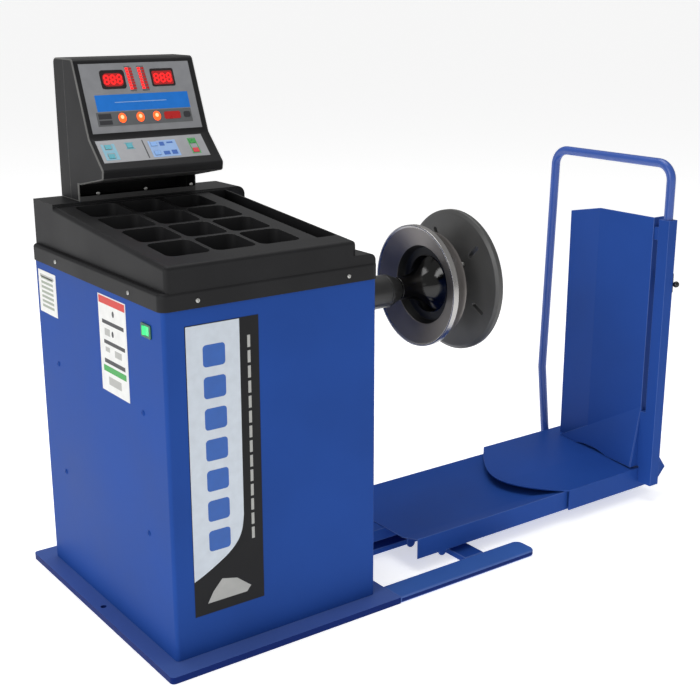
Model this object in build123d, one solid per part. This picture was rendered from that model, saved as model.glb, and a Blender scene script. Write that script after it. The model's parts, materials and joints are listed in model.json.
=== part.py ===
from build123d import *
import math
import os

# Truck and car wheel balancer with a lift, in millimetres.
# Origin: centre of the base plate's underside. +X runs out along the spindle, +Y to the back, +Z up.

# ---- base and cabinet ----
BASE_W = 696
BASE_D = 856
BASE_T = 18
BASE_CORNER = 12
ANCHOR_X = 326
ANCHOR_R = 8
CAB_W = 605
CAB_D = 740
CAB_TOP = 900
SHEET = 2
FRONT_BEND = 10
REAR_BEND = 10
LEFT = -CAB_W / 2
RIGHT = CAB_W / 2
FRONT = -CAB_D / 2
BACK = CAB_D / 2
DECK_OPENING = (360, 480)
REAR_OPENING = (520, 800)
REAR_OVERLAP = 15
REAR_MID_Z = 460
PANEL_SCREW_Y = 250
PANEL_SCREW_Z = (318, 630)
PANEL_SCREW_R = 7
PANEL_SCREW_HEAD = 3
REAR_SCREW_Z = (120, 460, 800)
TRIM_X = (-248, -50)
TRIM_Z = (122, 860)
TALL_PLATE = ((-182, -30), (635, 883))
SMALL_PLATE = ((233, 348), (760, 877))
INLET_X = -200
INLET_SIZE = (48, 28)
INLET_RIM = 5
NIPPLE_X = 200
NIPPLE_R = 6.5
NIPPLE_BORE = 3.5
NIPPLE_LENGTH = 18
CONNECTION_Z = 190

# ---- outrigger and lift base ----
BAR_WIDTH = 80
BAR_END = 857
BAR_REAR = -BASE_D / 2 + BAR_WIDTH
CROSS_X = (650, 720)
CROSS_BACK = 100
LIFT_Y = -110
LIFT_BASE_W = 80

# ---- top cover and weight tray ----
COVER_W = 616
COVER_D = 750
SKIRT_TOP = 943
SKIRT_CORNER = 22
HUMP_X = (-292, 240)
HUMP_FRONT_Z = 1003
HUMP_REAR_Z = 1056
STEP_X = 298
STEP_Z = 966
REAR_BAR_Y = 246
REAR_BAR_Z = 1062
REAR_BAR_X = 292
WELL_X = (-283, 226)
WELL_Y = (-303, 243)
WELL_Z = 950
COVER_WALL = 4
TRAY_X = (-282, 172)
TRAY_WALL = 4
POCKET_SIZE = (116, 122)
POCKET_PITCH = (127, 135)
POCKET_DEPTH = 52
POCKET_CORNER = 20
POCKET_COLUMNS = 3
POCKET_ROWS = 4
COVER_SCREW_R = 5.5
COVER_SCREW_Z = 918
COVER_SCREW_X = 213
COVER_SCREW_HEAD = 2.5

# ---- display head: side outline in (y, z) ----
HEAD_X = (-215, 137)
HEAD_BACK = 365
HEAD_TOP = 1430
HEAD_BROW_Y = 248
FACE_LOW = (168, 1233)
KEYPAD_LOW = (93, 1159)
CHIN_LOW = (97, 1136)
UNDER_BACK = (236, 1108)
NECK_Y = 250
NECK_TOP = 1108
HEAD_WALL = 4
HEAD_SPLIT_Y = 300
DISPLAY_X = (-199, 119)
DISPLAY_S = (15, 200)
KEYPAD_X = (-200, 107)
KEYPAD_S = (8, 80)
PANEL_T = 2
KEY_SIZE = (17, 14)
KEY_T = 5
KEY_PROUD = 1.2
KEY_GAP = 0.4
KEY_POCKET = 7
NECK_SCREW_Z = 1080
NECK_SCREW_X = (-160, -20, 120)

# ---- name blanks and switch ----
PLATE_T = 0.8
SWITCH_Y = -289
SWITCH_Z = 842
BEZEL = (50, 34)
ROCKER = (30, 22)
ROCKER_GAP = 0.4
ROCKER_TILT = 8
ROCKER_BARREL_R = 4

# ---- spindle ----
SPIN_Y = -110
SPIN_Z = 785
HOUSING_R = 47
HOUSING_X = (-120, 525)
NOSE_X = 570
NOSE_R = 33
BEARING_R = 40
BEARING_W = 18
HOUSING_BORE = 30
SHAFT_R = 20
SHAFT_BODY_R = 25
RUN_FIT = 0.05
SHAFT_X = (-212, 928)
SHAFT_END_X = 886
SHAFT_END_R = 18
SHAFT_CHAMFER = 3
FLANGE_R = 176
FLANGE_RIM_X = 636
FLANGE_FACE_X = 704
PRESSURE_R = 206
PRESSURE_X = (772, 800)
PRESSURE_BOSS_X = 815
SLOT_COUNT = 5
SLOT_FIRST = 27
SLOT_R = (112, 164)
SLOT_W = 13
PLATE_BOLT_R = 80
NUT_X = (816.5, 884)
NUT_R = 42
NUT_ARM_X = 850
NUT_ARM_COUNT = 3
NUT_ARM_FIRST = 201
NUT_ARM_R = 8
NUT_GRIP_R = 11
NUT_GRIP_LENGTH = 55
NUT_REACH = 140

# ---- drive inside the cabinet ----
FRAME_X = (-110, 250)
FRAME_Y = (-220, 0)
FRAME_T = 10
SHELF_Z = (690, 700)
SENSOR_H = 16
SENSOR_R = 18
SENSOR_X = (-40, 200)
FOOT_X = (-80, 220)
FOOT_HALF_Y = 50
PULLEY_X = (-178, -154)
FLANGE_LIP = 3
DRIVEN_R = 60
MOTOR_R = 64
MOTOR_LENGTH = 180
MOTOR_Z = 480
MOTOR_PULLEY_R = 25
MOTOR_SHAFT_R = 9
BELT_W = 16
BELT_T = 4
BELT_GAP = 0.4
ENCODER_X = (-196, -194)
ENCODER_R = 45
BOARD_X = (-100, 140)
BOARD_Z = (300, 460)
BOARD_STANDOFF = 25
BOARD_T = 2
BOARD_POST_R = 4
BOARD_PARTS = (((-80, -20), 30, (320, 380)), ((30, 110), 40, (400, 430)))
DISPLAY_BOARD = ((-190, 110), (30, 190), (-40, -38))

# ---- lift ----
MAST_X = (318, 430)
MAST_HALF_Y = 75
MAST_TOP = 728
MAST_T = 6
ROD_X = 405
GUIDE_R = 12.5
GUIDE_HALF_Y = 50
SLIDER_Z = (50, 400)
SLIDER_PLATE_X = (430, 442)
BLOCK_H = 60
BARREL_R = 22
BARREL_BORE = 16
BARREL_TOP = 366
GLAND_H = 12
PISTON_R = 15.95
PISTON_H = 18
PISTON_ROD_R = 8
TRAY_LIFT_X = (505, 1500)
TRAY_LIFT_Y = (-306, 90)
TRAY_LIFT_Z = (38, 100)
FLOOR_Z = 82
BAND_W = 70
LIFT_SHEET = 3
BEAM_END = 1480
LUGS = ((560, -210), (600, -306))
LUG_R = 14
LUG_T = 6
LUG_Z = 38

# ---- carriage ----
CAR_X = (1107, 1517)
CAR_TIP_X = 1557
CAR_FAR_Y = 112
CAR_NEAR_Y = -316
CAR_TOP = 112
CAR_NEAR_TOP = 105
CREASE_Y = -150
CAR_SKIRT_Z = 38
CAR_SHEET = 4
NOSE_FRONT_X = 960
NOSE_FAR_X = 1133
NOSE = ((1023, -18), (979, -150), (1010, -220))
END_GAP = 3
END_INSET = 16
ROLLER_R = 9.7
ROLLER_W = 24
ROLLER_BORE = 4.05
ROLLER_AXLE_R = 4
ROLLER_X = (1180, 1420)
ROLLER_Y = (-180, -20)
BACK_X = 1430
BACK_FOLD_Y = -81
BACK_FAR_Y = 70
BACK_FAR_SWEEP = 26
BACK_RETURN = 46
BACK_NEAR_Y = -304
BACK_PEAK = 929
BACK_FAR_Z = 899
TOE_X = 1392
TOE_TOP = 312
TOE_FAR_Y = 50
TOE_GAP = (-189, -36, 10)
POST_X = (1424, 1462)
POST_Y = (-368, -328)
POST_WALL = 3
POST_TOP = 927
WEB_END_X = 1484
WEB_END_Z = 200
LINK_Z = (860, 900)
HANDLE_R = 14
HANDLE_WALL = 2.5
HANDLE_TOP = 1110
HANDLE_FAR_Y = 137
HANDLE_START_Z = 800
HANDLE_KNEE = (159, 333)
HANDLE_FOOT = (126.5, 60)
HANDLE_BEND = 50
LEVER_Z = 724
LEVER_X = 1473
LEVER_PIVOT_Y = -340
KNOB_Y = -372
KNOB_R = 10
LEVER_R = 4
VALVE_Y = (-354, -328)
VALVE_SIZE = (20, 60)
VALVE_SLOT = (10, 30)
VALVE_SLOT_DEPTH = 20


# ---------- helpers ----------
def block(x, y, z):
    """Box between two values on each axis."""
    middle = Pos((x[0] + x[1]) / 2, (y[0] + y[1]) / 2, (z[0] + z[1]) / 2)
    return middle * Box(x[1] - x[0], y[1] - y[0], z[1] - z[0])


def rod_x(x, r, y=SPIN_Y, z=SPIN_Z):
    """Cylinder along X."""
    return Pos((x[0] + x[1]) / 2, y, z) * Rot(0, 90, 0) * Cylinder(r, x[1] - x[0])


def rod_y(y, r, x, z):
    """Cylinder along Y."""
    return Pos(x, (y[0] + y[1]) / 2, z) * Rot(90, 0, 0) * Cylinder(r, y[1] - y[0])


def rod_z(z, r, x, y):
    """Cylinder along Z."""
    return Pos(x, y, (z[0] + z[1]) / 2) * Cylinder(r, z[1] - z[0])


def tube_x(x, outer, inner, y=SPIN_Y, z=SPIN_Z):
    """Tube along X."""
    return rod_x(x, outer, y, z) - rod_x((x[0] - 1, x[1] + 1), inner, y, z)


def turned(points):
    """Solid of revolution about the spindle axis from an outline of (x, radius)."""
    outline = make_face(Polyline(*[(x, 0, r) for x, r in points], close=True))
    return Pos(0, SPIN_Y, SPIN_Z) * revolve(outline, Axis.X)


def side_prism(points, x):
    """Outline of (y, z) points pulled from x[0] to x[1]."""
    outline = make_face(Polyline(*[(x[0], y, z) for y, z in points], close=True))
    return extrude(outline, amount=x[1] - x[0], dir=(1, 0, 0))


def front_prism(points, y):
    """Outline of (x, z) points pulled from y[0] to y[1]."""
    outline = make_face(Polyline(*[(px, y[0], pz) for px, pz in points], close=True))
    return extrude(outline, amount=y[1] - y[0], dir=(0, 1, 0))


def plan_prism(points, z):
    """Outline of (x, y) points pulled from z[0] to z[1]."""
    outline = make_face(Polyline(*[(px, py, z[0]) for px, py in points], close=True))
    return extrude(outline, amount=z[1] - z[0], dir=(0, 0, 1))


def vertical_edges(solid, pick):
    """Vertical edges whose centre passes the test."""
    return [e for e in solid.edges().filter_by(Axis.Z) if pick(e.center())]


def thickened(points, t):
    """Closed outline of an open run of points with a sheet of thickness t on its left side."""
    count = len(points)
    far = []
    for i, (a, b) in enumerate(points):
        before = points[max(i - 1, 0)]
        after = points[min(i + 1, count - 1)]
        if i == 0:
            before = (2 * a - after[0], 2 * b - after[1])
        if i == count - 1:
            after = (2 * a - before[0], 2 * b - before[1])
        n1 = unit_left(before, (a, b))
        n2 = unit_left((a, b), after)
        scale = t / (1 + n1[0] * n2[0] + n1[1] * n2[1])
        far.append((a + (n1[0] + n2[0]) * scale, b + (n1[1] + n2[1]) * scale))
    return list(points) + far[::-1]


def unit_left(start, end):
    """Unit normal on the left of the run from start to end."""
    da = end[0] - start[0]
    db = end[1] - start[1]
    size = math.hypot(da, db)
    return (-db / size, da / size)


def group(solids):
    """Several loose solids in one node."""
    return Compound(children=list(solids))


# ---------- base ----------
def base_plate():
    plate = block((-BASE_W / 2, BASE_W / 2), (-BASE_D / 2, BASE_D / 2), (0, BASE_T))
    plate = fillet(vertical_edges(plate, lambda c: c.X < 0 or c.Y > 0), BASE_CORNER)
    for x in (-ANCHOR_X, ANCHOR_X):
        plate -= rod_z((-1, BASE_T + 1), ANCHOR_R, x, 0)
    return plate


def outrigger_bar():
    bar = block((BASE_W / 2, BAR_END), (-BASE_D / 2, BAR_REAR), (0, BASE_T))
    return fillet(vertical_edges(bar, lambda c: c.X > CROSS_X[1]), BAR_WIDTH * 0.3)


def lift_base():
    cross = block(CROSS_X, (BAR_REAR, CROSS_BACK), (0, BASE_T))
    beam = block((BASE_W / 2, CROSS_X[0]), (LIFT_Y - LIFT_BASE_W / 2, LIFT_Y + LIFT_BASE_W / 2), (0, BASE_T))
    return cross + beam


# ---------- cabinet ----------
def cabinet_block(inset, z):
    body = block((LEFT + inset, RIGHT - inset), (FRONT + inset, BACK - inset), z)
    body = fillet(vertical_edges(body, lambda c: c.Y < 0), FRONT_BEND - inset)
    return fillet(vertical_edges(body, lambda c: c.Y > 0), REAR_BEND - inset)


def cabinet_shell():
    shell = cabinet_block(0, (BASE_T, CAB_TOP)) - cabinet_block(SHEET, (BASE_T - 1, CAB_TOP - SHEET))
    w, d = DECK_OPENING
    shell -= block((-w / 2, w / 2), (-d / 2, d / 2), (CAB_TOP - SHEET - 1, CAB_TOP + 1))
    w, h = REAR_OPENING
    shell -= block((-w / 2, w / 2), (BACK - SHEET - 1, BACK + 1), (REAR_MID_Z - h / 2, REAR_MID_Z + h / 2))
    shell -= rod_x((RIGHT - SHEET - 1, RIGHT + 1), HOUSING_R + 4)
    a, b = ROCKER
    shell -= block((LEFT - 1, LEFT + SHEET + 1), span(SWITCH_Y, a + 6), span(SWITCH_Z, b + 6))
    return shell


def span(middle, width):
    """Low and high value about a middle."""
    return (middle - width / 2, middle + width / 2)


def rear_panel():
    w, h = REAR_OPENING
    w += 2 * REAR_OVERLAP
    h += 2 * REAR_OVERLAP
    panel = block((-w / 2, w / 2), (BACK, BACK + SHEET), span(REAR_MID_Z, h))
    return fillet(panel.edges().filter_by(Axis.Y), REAR_BEND)


def panel_screws():
    heads = []
    for side in (-1, 1):
        x = (RIGHT, RIGHT + PANEL_SCREW_HEAD) if side > 0 else (LEFT - PANEL_SCREW_HEAD, LEFT)
        heads += [rod_x(x, PANEL_SCREW_R, y, z) for y in (-PANEL_SCREW_Y, PANEL_SCREW_Y) for z in PANEL_SCREW_Z]
    y = (BACK + SHEET, BACK + SHEET + PANEL_SCREW_HEAD)
    edge = REAR_OPENING[0] / 2 + REAR_OVERLAP / 2
    heads += [rod_y(y, PANEL_SCREW_R, x, z) for x in (-edge, edge) for z in REAR_SCREW_Z]
    return group(heads)


def front_trim():
    return block(TRIM_X, (FRONT - PLATE_T, FRONT), TRIM_Z)


def side_plates():
    return group([block((LEFT - PLATE_T, LEFT), y, z) for y, z in (TALL_PLATE, SMALL_PLATE)])


def switch_bezel():
    a, b = BEZEL
    bezel = block((LEFT - 3, LEFT), span(SWITCH_Y, a), span(SWITCH_Z, b))
    bezel = fillet(bezel.edges().filter_by(Axis.X), 5)
    a, b = ROCKER
    bezel += block((LEFT, LEFT + 24), span(SWITCH_Y, a + 5), span(SWITCH_Z, b + 5))
    gap = 2 * ROCKER_GAP
    return bezel - block((LEFT - 4, LEFT + 18), span(SWITCH_Y, a + gap), span(SWITCH_Z, b + gap))


def power_rocker():
    a, b = ROCKER
    half = a / 2 - 1.4
    outer = LEFT - 3
    inner = outer + 9
    points = [(outer - 1.5, -half), (outer + 0.8, 0), (outer - 1.5, half), (inner, half - 3), (inner, 3 - half)]
    face = [(x, SWITCH_Y + y) for x, y in points]
    rocker = plan_prism(face, span(SWITCH_Z, b))
    rocker += rod_z(span(SWITCH_Z, b), ROCKER_BARREL_R, outer + 6, SWITCH_Y)
    pivot = Axis((outer + 6, SWITCH_Y, SWITCH_Z), (0, 0, 1))
    return rocker.rotate(pivot, ROCKER_TILT)


# ---------- top cover ----------
def slope_z(y, drop=0):
    """Height of the sloping top at depth y."""
    front = -COVER_D / 2
    share = (y - front) / (REAR_BAR_Y - front)
    return HUMP_FRONT_Z + (HUMP_REAR_Z - HUMP_FRONT_Z) * share - drop


def cover_mass(inset):
    """Outer form of the cover, shrunk by inset on its sides and top."""
    low = CAB_TOP - (1 if inset else 0)
    front = -COVER_D / 2 + inset
    back = COVER_D / 2 - inset
    skirt = block((-COVER_W / 2 + inset, COVER_W / 2 - inset), (front, back), (low, SKIRT_TOP - inset))
    skirt = fillet(vertical_edges(skirt, lambda c: True), SKIRT_CORNER - inset)
    slope_end = (REAR_BAR_Y, HUMP_REAR_Z - inset)
    start = front + 3
    side = [(start, low), (start, HUMP_FRONT_Z - inset), slope_end, (back, HUMP_REAR_Z - inset), (back, low)]
    hump = side_prism(side, (HUMP_X[0] + inset, HUMP_X[1] - inset))
    step = block((HUMP_X[1] - 30, STEP_X - inset), (front + 3, back - 3), (low, STEP_Z - inset))
    bar = block((HUMP_X[0] + inset, REAR_BAR_X - inset), (REAR_BAR_Y + inset, back), (low, REAR_BAR_Z - inset))
    if not inset:
        step = fillet(step.edges().filter_by(Axis.Y).group_by(Axis.Z)[-1].sort_by(Axis.X)[-1], 18)
        bar = fillet(bar.edges().filter_by(Axis.Y).group_by(Axis.Z)[-1].sort_by(Axis.X)[-1], 24)
        brow = hump.edges().filter_by(Axis.X).sort_by(Axis.Y)[:2].sort_by(Axis.Z)[-1]
        hump = fillet(brow, 10)
        ends = [e for e in hump.edges() if abs(e.center().Z - slope_z(e.center().Y)) < 12 and is_crosswise(e)]
        hump = fillet(ends, 12)
        skirt = fillet(skirt.edges().group_by(Axis.Z)[-1], 8)
    return skirt + hump + step + bar


def is_crosswise(edge):
    """True for the edges at the two ends of the sloping top."""
    box = edge.bounding_box().size
    return box.X < 1 and box.Y > 100


def pocket_centres():
    """Centres of the weight pockets."""
    px, py = POCKET_PITCH
    mid_x = (TRAY_X[0] + TRAY_X[1]) / 2
    mid_y = (WELL_Y[0] + WELL_Y[1]) / 2
    for column in range(POCKET_COLUMNS):
        for row in range(POCKET_ROWS):
            x = mid_x + (column - (POCKET_COLUMNS - 1) / 2) * px
            y = mid_y + (row - (POCKET_ROWS - 1) / 2) * py
            yield x, y


def top_cover():
    well = block(WELL_X, WELL_Y, (WELL_Z, HUMP_REAR_Z + 50))
    around = block(
        (WELL_X[0] - COVER_WALL, WELL_X[1] + COVER_WALL),
        (WELL_Y[0] - COVER_WALL, WELL_Y[1] + COVER_WALL),
        (WELL_Z - COVER_WALL, HUMP_REAR_Z + 50),
    )
    return cover_mass(0) - (cover_mass(COVER_WALL) - around) - well


def weight_tray():
    y0 = WELL_Y[0] + 1
    y1 = WELL_Y[1] - 1
    side = [(y0, WELL_Z), (y0, slope_z(y0, 2)), (y1, slope_z(y1, 2)), (y1, WELL_Z)]
    tray = side_prism(side, TRAY_X)
    w = TRAY_WALL
    under = POCKET_DEPTH + 2 * w
    low = WELL_Z - 1
    start, end = y0 + w, y1 - w
    side = [(start, low), (start, slope_z(y0, under)), (end, slope_z(y1, under)), (end, low)]
    tray -= side_prism(side, (TRAY_X[0] + w, TRAY_X[1] - w))
    w, d = POCKET_SIZE
    for x, y in pocket_centres():
        floor = slope_z(y) - POCKET_DEPTH
        pocket = block(span(x, w), span(y, d), (floor, floor + 150))
        tray -= fillet(pocket.edges().filter_by(Axis.Z), POCKET_CORNER)
    return tray


def cover_screws():
    y = (-COVER_D / 2 - COVER_SCREW_HEAD, -COVER_D / 2)
    heads = [rod_y(y, COVER_SCREW_R, x, COVER_SCREW_Z) for x in (-COVER_SCREW_X, COVER_SCREW_X)]
    x = (-COVER_W / 2 - COVER_SCREW_HEAD, -COVER_W / 2)
    heads += [rod_x(x, COVER_SCREW_R, y, COVER_SCREW_Z) for y in (-COVER_SCREW_X, COVER_SCREW_X)]
    y = (NECK_Y - COVER_SCREW_HEAD, NECK_Y)
    heads += [rod_y(y, COVER_SCREW_R, x, NECK_SCREW_Z) for x in NECK_SCREW_X]
    return group(heads)


# ---------- display head ----------
BROW = (HEAD_BROW_Y, HEAD_TOP)


def head_outline():
    return [
        (HEAD_BACK, REAR_BAR_Z), (HEAD_BACK, HEAD_TOP), BROW, FACE_LOW, KEYPAD_LOW, CHIN_LOW,
        UNDER_BACK, (NECK_Y, NECK_TOP), (NECK_Y, REAR_BAR_Z),
    ]


def head_block():
    head = side_prism(head_outline(), HEAD_X)
    top = [e for e in head.edges().filter_by(Axis.X) if e.center().Z > HEAD_TOP - 1]
    head = fillet(top, 14)
    chin = [e for e in head.edges().filter_by(Axis.X) if e.center().Y < CHIN_LOW[0] + 2]
    head = fillet(chin, 9)
    return head


def head_cavity():
    wall = HEAD_WALL
    points = [
        (HEAD_BACK - wall, REAR_BAR_Z - 1),
        (HEAD_BACK - wall, HEAD_TOP - wall),
        (HEAD_BROW_Y + 3, HEAD_TOP - wall),
        (FACE_LOW[0] + 5 + KEY_POCKET, FACE_LOW[1] - 2), (KEYPAD_LOW[0] + 12 + KEY_POCKET, KEYPAD_LOW[1] - 6),
        (UNDER_BACK[0] + 3, UNDER_BACK[1] + 6), (NECK_Y + wall, REAR_BAR_Z - 1),
    ]
    return side_prism(points, (HEAD_X[0] + wall, HEAD_X[1] - wall))


def face_frame(start, end):
    """Placement on a sloping face: X along the machine's X, Y up the slope, Z out of the face."""
    up = Vector(0, start[0] - end[0], start[1] - end[1]).normalized()
    return Plane(origin=(0, start[0], start[1]), x_dir=(1, 0, 0), z_dir=Vector(1, 0, 0).cross(up))


def on_face(plane, x, s, depth):
    """Block on a sloping face, s measured down the slope and depth along the outward normal."""
    solid = block(x, (-s[1], -s[0]), depth)
    return plane * solid


DISPLAY_PLANE = face_frame(BROW, FACE_LOW)
KEYPAD_PLANE = face_frame(FACE_LOW, KEYPAD_LOW)


def key_places():
    """Name and centre (x, s) of each key on the keypad."""
    return {
        "start_key": (72, 30),
        "stop_key": (72, 60),
        "unit_key": (-172, 30),
        "width_key": (-172, 60),
        "offset_key": (-111, 30),
        "mode_key": (-42, 30),
        "recall_key": (-42, 60),
    }


def key_block(place, grow, depth):
    x, s = place
    a, b = KEY_SIZE
    return on_face(KEYPAD_PLANE, span(x, a + 2 * grow), span(s, b + 2 * grow), depth)


def head_shell():
    shell = head_block() - head_cavity() - head_rear_half()
    shell -= on_face(DISPLAY_PLANE, DISPLAY_X, DISPLAY_S, (-PANEL_T, 5))
    shell -= on_face(KEYPAD_PLANE, KEYPAD_X, KEYPAD_S, (-PANEL_T, 5))
    for place in key_places().values():
        shell -= key_block(place, KEY_GAP, (-KEY_POCKET, 5))
    return shell


def head_back():
    return (head_block() - head_cavity()) & head_rear_half()


def head_rear_half():
    """Block that holds everything behind the head's split line."""
    x = (HEAD_X[0] - 1, HEAD_X[1] + 1)
    return block(x, (HEAD_SPLIT_Y, HEAD_BACK + 1), (REAR_BAR_Z - 1, HEAD_TOP + 1))


def display_panel():
    return on_face(DISPLAY_PLANE, DISPLAY_X, DISPLAY_S, (-PANEL_T, 0))


def keypad_plate():
    plate = on_face(KEYPAD_PLANE, KEYPAD_X, KEYPAD_S, (-PANEL_T, 0))
    for place in key_places().values():
        plate -= key_block(place, KEY_GAP, (-PANEL_T - 1, 1))
    return plate


def keypad_key(place):
    return key_block(place, 0, (KEY_PROUD - KEY_T, KEY_PROUD))


def display_board():
    return on_face(DISPLAY_PLANE, *DISPLAY_BOARD)


# ---------- spindle ----------
def spindle_housing():
    body = rod_x(HOUSING_X, HOUSING_R)
    foot_z = (SHELF_Z[1] + SENSOR_H, SPIN_Z - HOUSING_R / 2)
    body += block(FOOT_X, (SPIN_Y - FOOT_HALF_Y, SPIN_Y + FOOT_HALF_Y), foot_z)
    body -= rod_x((HOUSING_X[0] - 1, HOUSING_X[1] + 1), HOUSING_BORE)
    body -= rod_x((HOUSING_X[0] - 1, HOUSING_X[0] + 20), BEARING_R)
    return body - rod_x((HOUSING_X[1] - 25, HOUSING_X[1] + 1), BEARING_R)


def spindle_nose():
    x = HOUSING_X[1]
    bore = SHAFT_R + 1.5
    return turned([(x, bore), (x, HOUSING_R), (x + 8, HOUSING_R), (NOSE_X, NOSE_R), (NOSE_X, bore)])


def spindle_bearings():
    rear = (HOUSING_X[0] + 20 - BEARING_W, HOUSING_X[0] + 20)
    front = (HOUSING_X[1] - 25, HOUSING_X[1] - 25 + BEARING_W)
    return group([tube_x(x, BEARING_R, SHAFT_R + RUN_FIT) for x in (rear, front)])


def spindle_shaft():
    body = (HOUSING_X[0] + 20.5, HOUSING_X[1] - 25.5)
    shaft = rod_x((SHAFT_X[0], SHAFT_END_X), SHAFT_R) + rod_x(body, SHAFT_BODY_R)
    shaft += rod_x((SHAFT_END_X, SHAFT_X[1]), SHAFT_END_R)
    return chamfer(shaft.edges().sort_by(Axis.X)[-1], SHAFT_CHAMFER)


def wheel_flange():
    hub_x = NOSE_X + 3
    trumpet = Spline((hub_x, 0, NOSE_R), (640, 0, 41), (688, 0, 84), tangents=((1, 0, 0), (0.35, 0, 1)))
    rest = Polyline(
        (688, 0, 84), (688, 0, 106), (664, 0, 114), (FLANGE_RIM_X + 3, 0, 168), (FLANGE_RIM_X, 0, 171),
        (FLANGE_RIM_X, 0, FLANGE_R), (654, 0, FLANGE_R), (662, 0, 168), (690, 0, 152), (FLANGE_FACE_X, 0, 152),
        (FLANGE_FACE_X, 0, SHAFT_R), (hub_x, 0, SHAFT_R), (hub_x, 0, NOSE_R),
    )
    outline = make_face(Wire([trumpet] + list(rest.edges())))
    return Pos(0, SPIN_Y, SPIN_Z) * revolve(outline, Axis.X)


def polar(radius, degrees, x):
    """Point at an angle from straight up, turning toward the back."""
    a = math.radians(degrees)
    return x, SPIN_Y + radius * math.sin(a), SPIN_Z + radius * math.cos(a)


def pressure_plate():
    low, high = PRESSURE_X
    bore = SHAFT_R + RUN_FIT
    plate = turned([
        (low, bore), (low, PRESSURE_R - 10), (low + 7, PRESSURE_R),
        (high - 8, PRESSURE_R), (high, PRESSURE_R - 10),
        (high, 62), (PRESSURE_BOSS_X, 46), (PRESSURE_BOSS_X, bore),
    ])
    mid = sum(SLOT_R) / 2
    for i in range(SLOT_COUNT):
        angle = SLOT_FIRST + i * 360 / SLOT_COUNT
        slot = Rot(0, 90, 0) * SlotOverall(SLOT_R[1] - SLOT_R[0], SLOT_W)
        slot = extrude(slot, amount=high - low + 20, dir=(1, 0, 0))
        plate -= Pos(low - 10, SPIN_Y, SPIN_Z) * Rot(-angle, 0, 0) * Pos(0, 0, mid) * slot
    return plate


def plate_bolts():
    heads = []
    for i in range(SLOT_COUNT):
        x, y, z = polar(PLATE_BOLT_R, SLOT_FIRST + i * 360 / SLOT_COUNT, PRESSURE_X[0])
        heads.append(rod_x((x - 6, x), 7, y, z))
    return group(heads)


def quick_nut():
    bore = SHAFT_R + RUN_FIT
    low, high = NUT_X
    return turned([
        (low, bore), (low, NUT_R - 4), (low + 12, NUT_R), (high - 6, NUT_R), (high, NUT_R - 6), (high, bore),
    ])


def nut_arms():
    arms = []
    arm = rod_z((NUT_R - 0.5, NUT_REACH - 20), NUT_ARM_R, 0, 0)
    arm += rod_z((NUT_REACH - NUT_GRIP_LENGTH, NUT_REACH), NUT_GRIP_R, 0, 0)
    arm -= rod_x((-50, 50), NUT_R, 0, 0)
    for i in range(NUT_ARM_COUNT):
        angle = NUT_ARM_FIRST + i * 360 / NUT_ARM_COUNT
        arms.append(Pos(NUT_ARM_X, SPIN_Y, SPIN_Z) * Rot(angle - 90, 0, 0) * arm)
    return group(arms)


# ---------- drive ----------
def inner_frame():
    frame = block(FRAME_X, FRAME_Y, SHELF_Z)
    for x in (FRAME_X[0], FRAME_X[1] - FRAME_T):
        frame += block((x, x + FRAME_T), FRAME_Y, (BASE_T, SHELF_Z[0]))
    return frame - rod_x((FRAME_X[0] - 1, FRAME_X[0] + FRAME_T + 1), 30, SPIN_Y, MOTOR_Z)


def force_sensors():
    z = (SHELF_Z[1], SHELF_Z[1] + SENSOR_H)
    return group([rod_z(z, SENSOR_R, x, SPIN_Y) for x in SENSOR_X])


def belt_track():
    """Part of a pulley's width between its two lips."""
    return PULLEY_X[0] + FLANGE_LIP, PULLEY_X[1] - FLANGE_LIP


def driven_pulley():
    rim = DRIVEN_R + FLANGE_LIP
    return tube_x(PULLEY_X, rim, SHAFT_R) - tube_x(belt_track(), rim + 1, DRIVEN_R)


def encoder_disc():
    return tube_x(ENCODER_X, ENCODER_R, SHAFT_R)


def motor():
    face = FRAME_X[0] + FRAME_T
    body = rod_x((face, face + MOTOR_LENGTH), MOTOR_R, SPIN_Y, MOTOR_Z)
    return body - rod_x((face - 1, face + 40), MOTOR_SHAFT_R + RUN_FIT, SPIN_Y, MOTOR_Z)


def motor_pulley():
    at = (SPIN_Y, MOTOR_Z)
    rim = MOTOR_PULLEY_R + FLANGE_LIP
    pulley = rod_x(PULLEY_X, rim, *at)
    pulley -= tube_x(belt_track(), rim + 1, MOTOR_PULLEY_R, *at)
    return pulley + rod_x((PULLEY_X[0] - 4, FRAME_X[0] + FRAME_T + 38), MOTOR_SHAFT_R, *at)


def belt_loop(grow, x):
    """Loop round both pulleys, grown by a distance."""
    big = DRIVEN_R + grow
    small = MOTOR_PULLEY_R + grow
    lean = (big - small) / (SPIN_Z - MOTOR_Z)
    side = math.sqrt(1 - lean * lean)
    points = []
    low, high = (small, MOTOR_Z), (big, SPIN_Z)
    for sign, (radius, z) in ((1, low), (1, high), (-1, high), (-1, low)):
        points.append((SPIN_Y + sign * radius * side, z - radius * lean))
    return side_prism(points, x) + rod_x(x, big) + rod_x(x, small, SPIN_Y, MOTOR_Z)


def drive_belt():
    x = span(sum(PULLEY_X) / 2, BELT_W)
    return belt_loop(BELT_GAP + BELT_T, x) - belt_loop(BELT_GAP, (x[0] - 1, x[1] + 1))


def power_board():
    """Board on four posts behind the rear panel, with two block-shaped components."""
    low, high = BOARD_Z
    face = BACK - BOARD_STANDOFF
    board = block(BOARD_X, (face, face + BOARD_T), BOARD_Z)
    for x in (BOARD_X[0] + 10, BOARD_X[1] - 10):
        for z in (low + 10, high - 10):
            board += rod_y((face + BOARD_T / 2, BACK), BOARD_POST_R, x, z)
    for x, height, z in BOARD_PARTS:
        board += block(x, (face - height, face), z)
    return board


def power_inlet():
    y = BACK + SHEET
    w, h = INLET_SIZE
    inlet = block(span(INLET_X, w), (y, y + 6), span(CONNECTION_Z, h))
    rim = 2 * INLET_RIM
    return inlet - block(span(INLET_X, w - rim), (y + 1, y + 7), span(CONNECTION_Z, h - rim))


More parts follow.
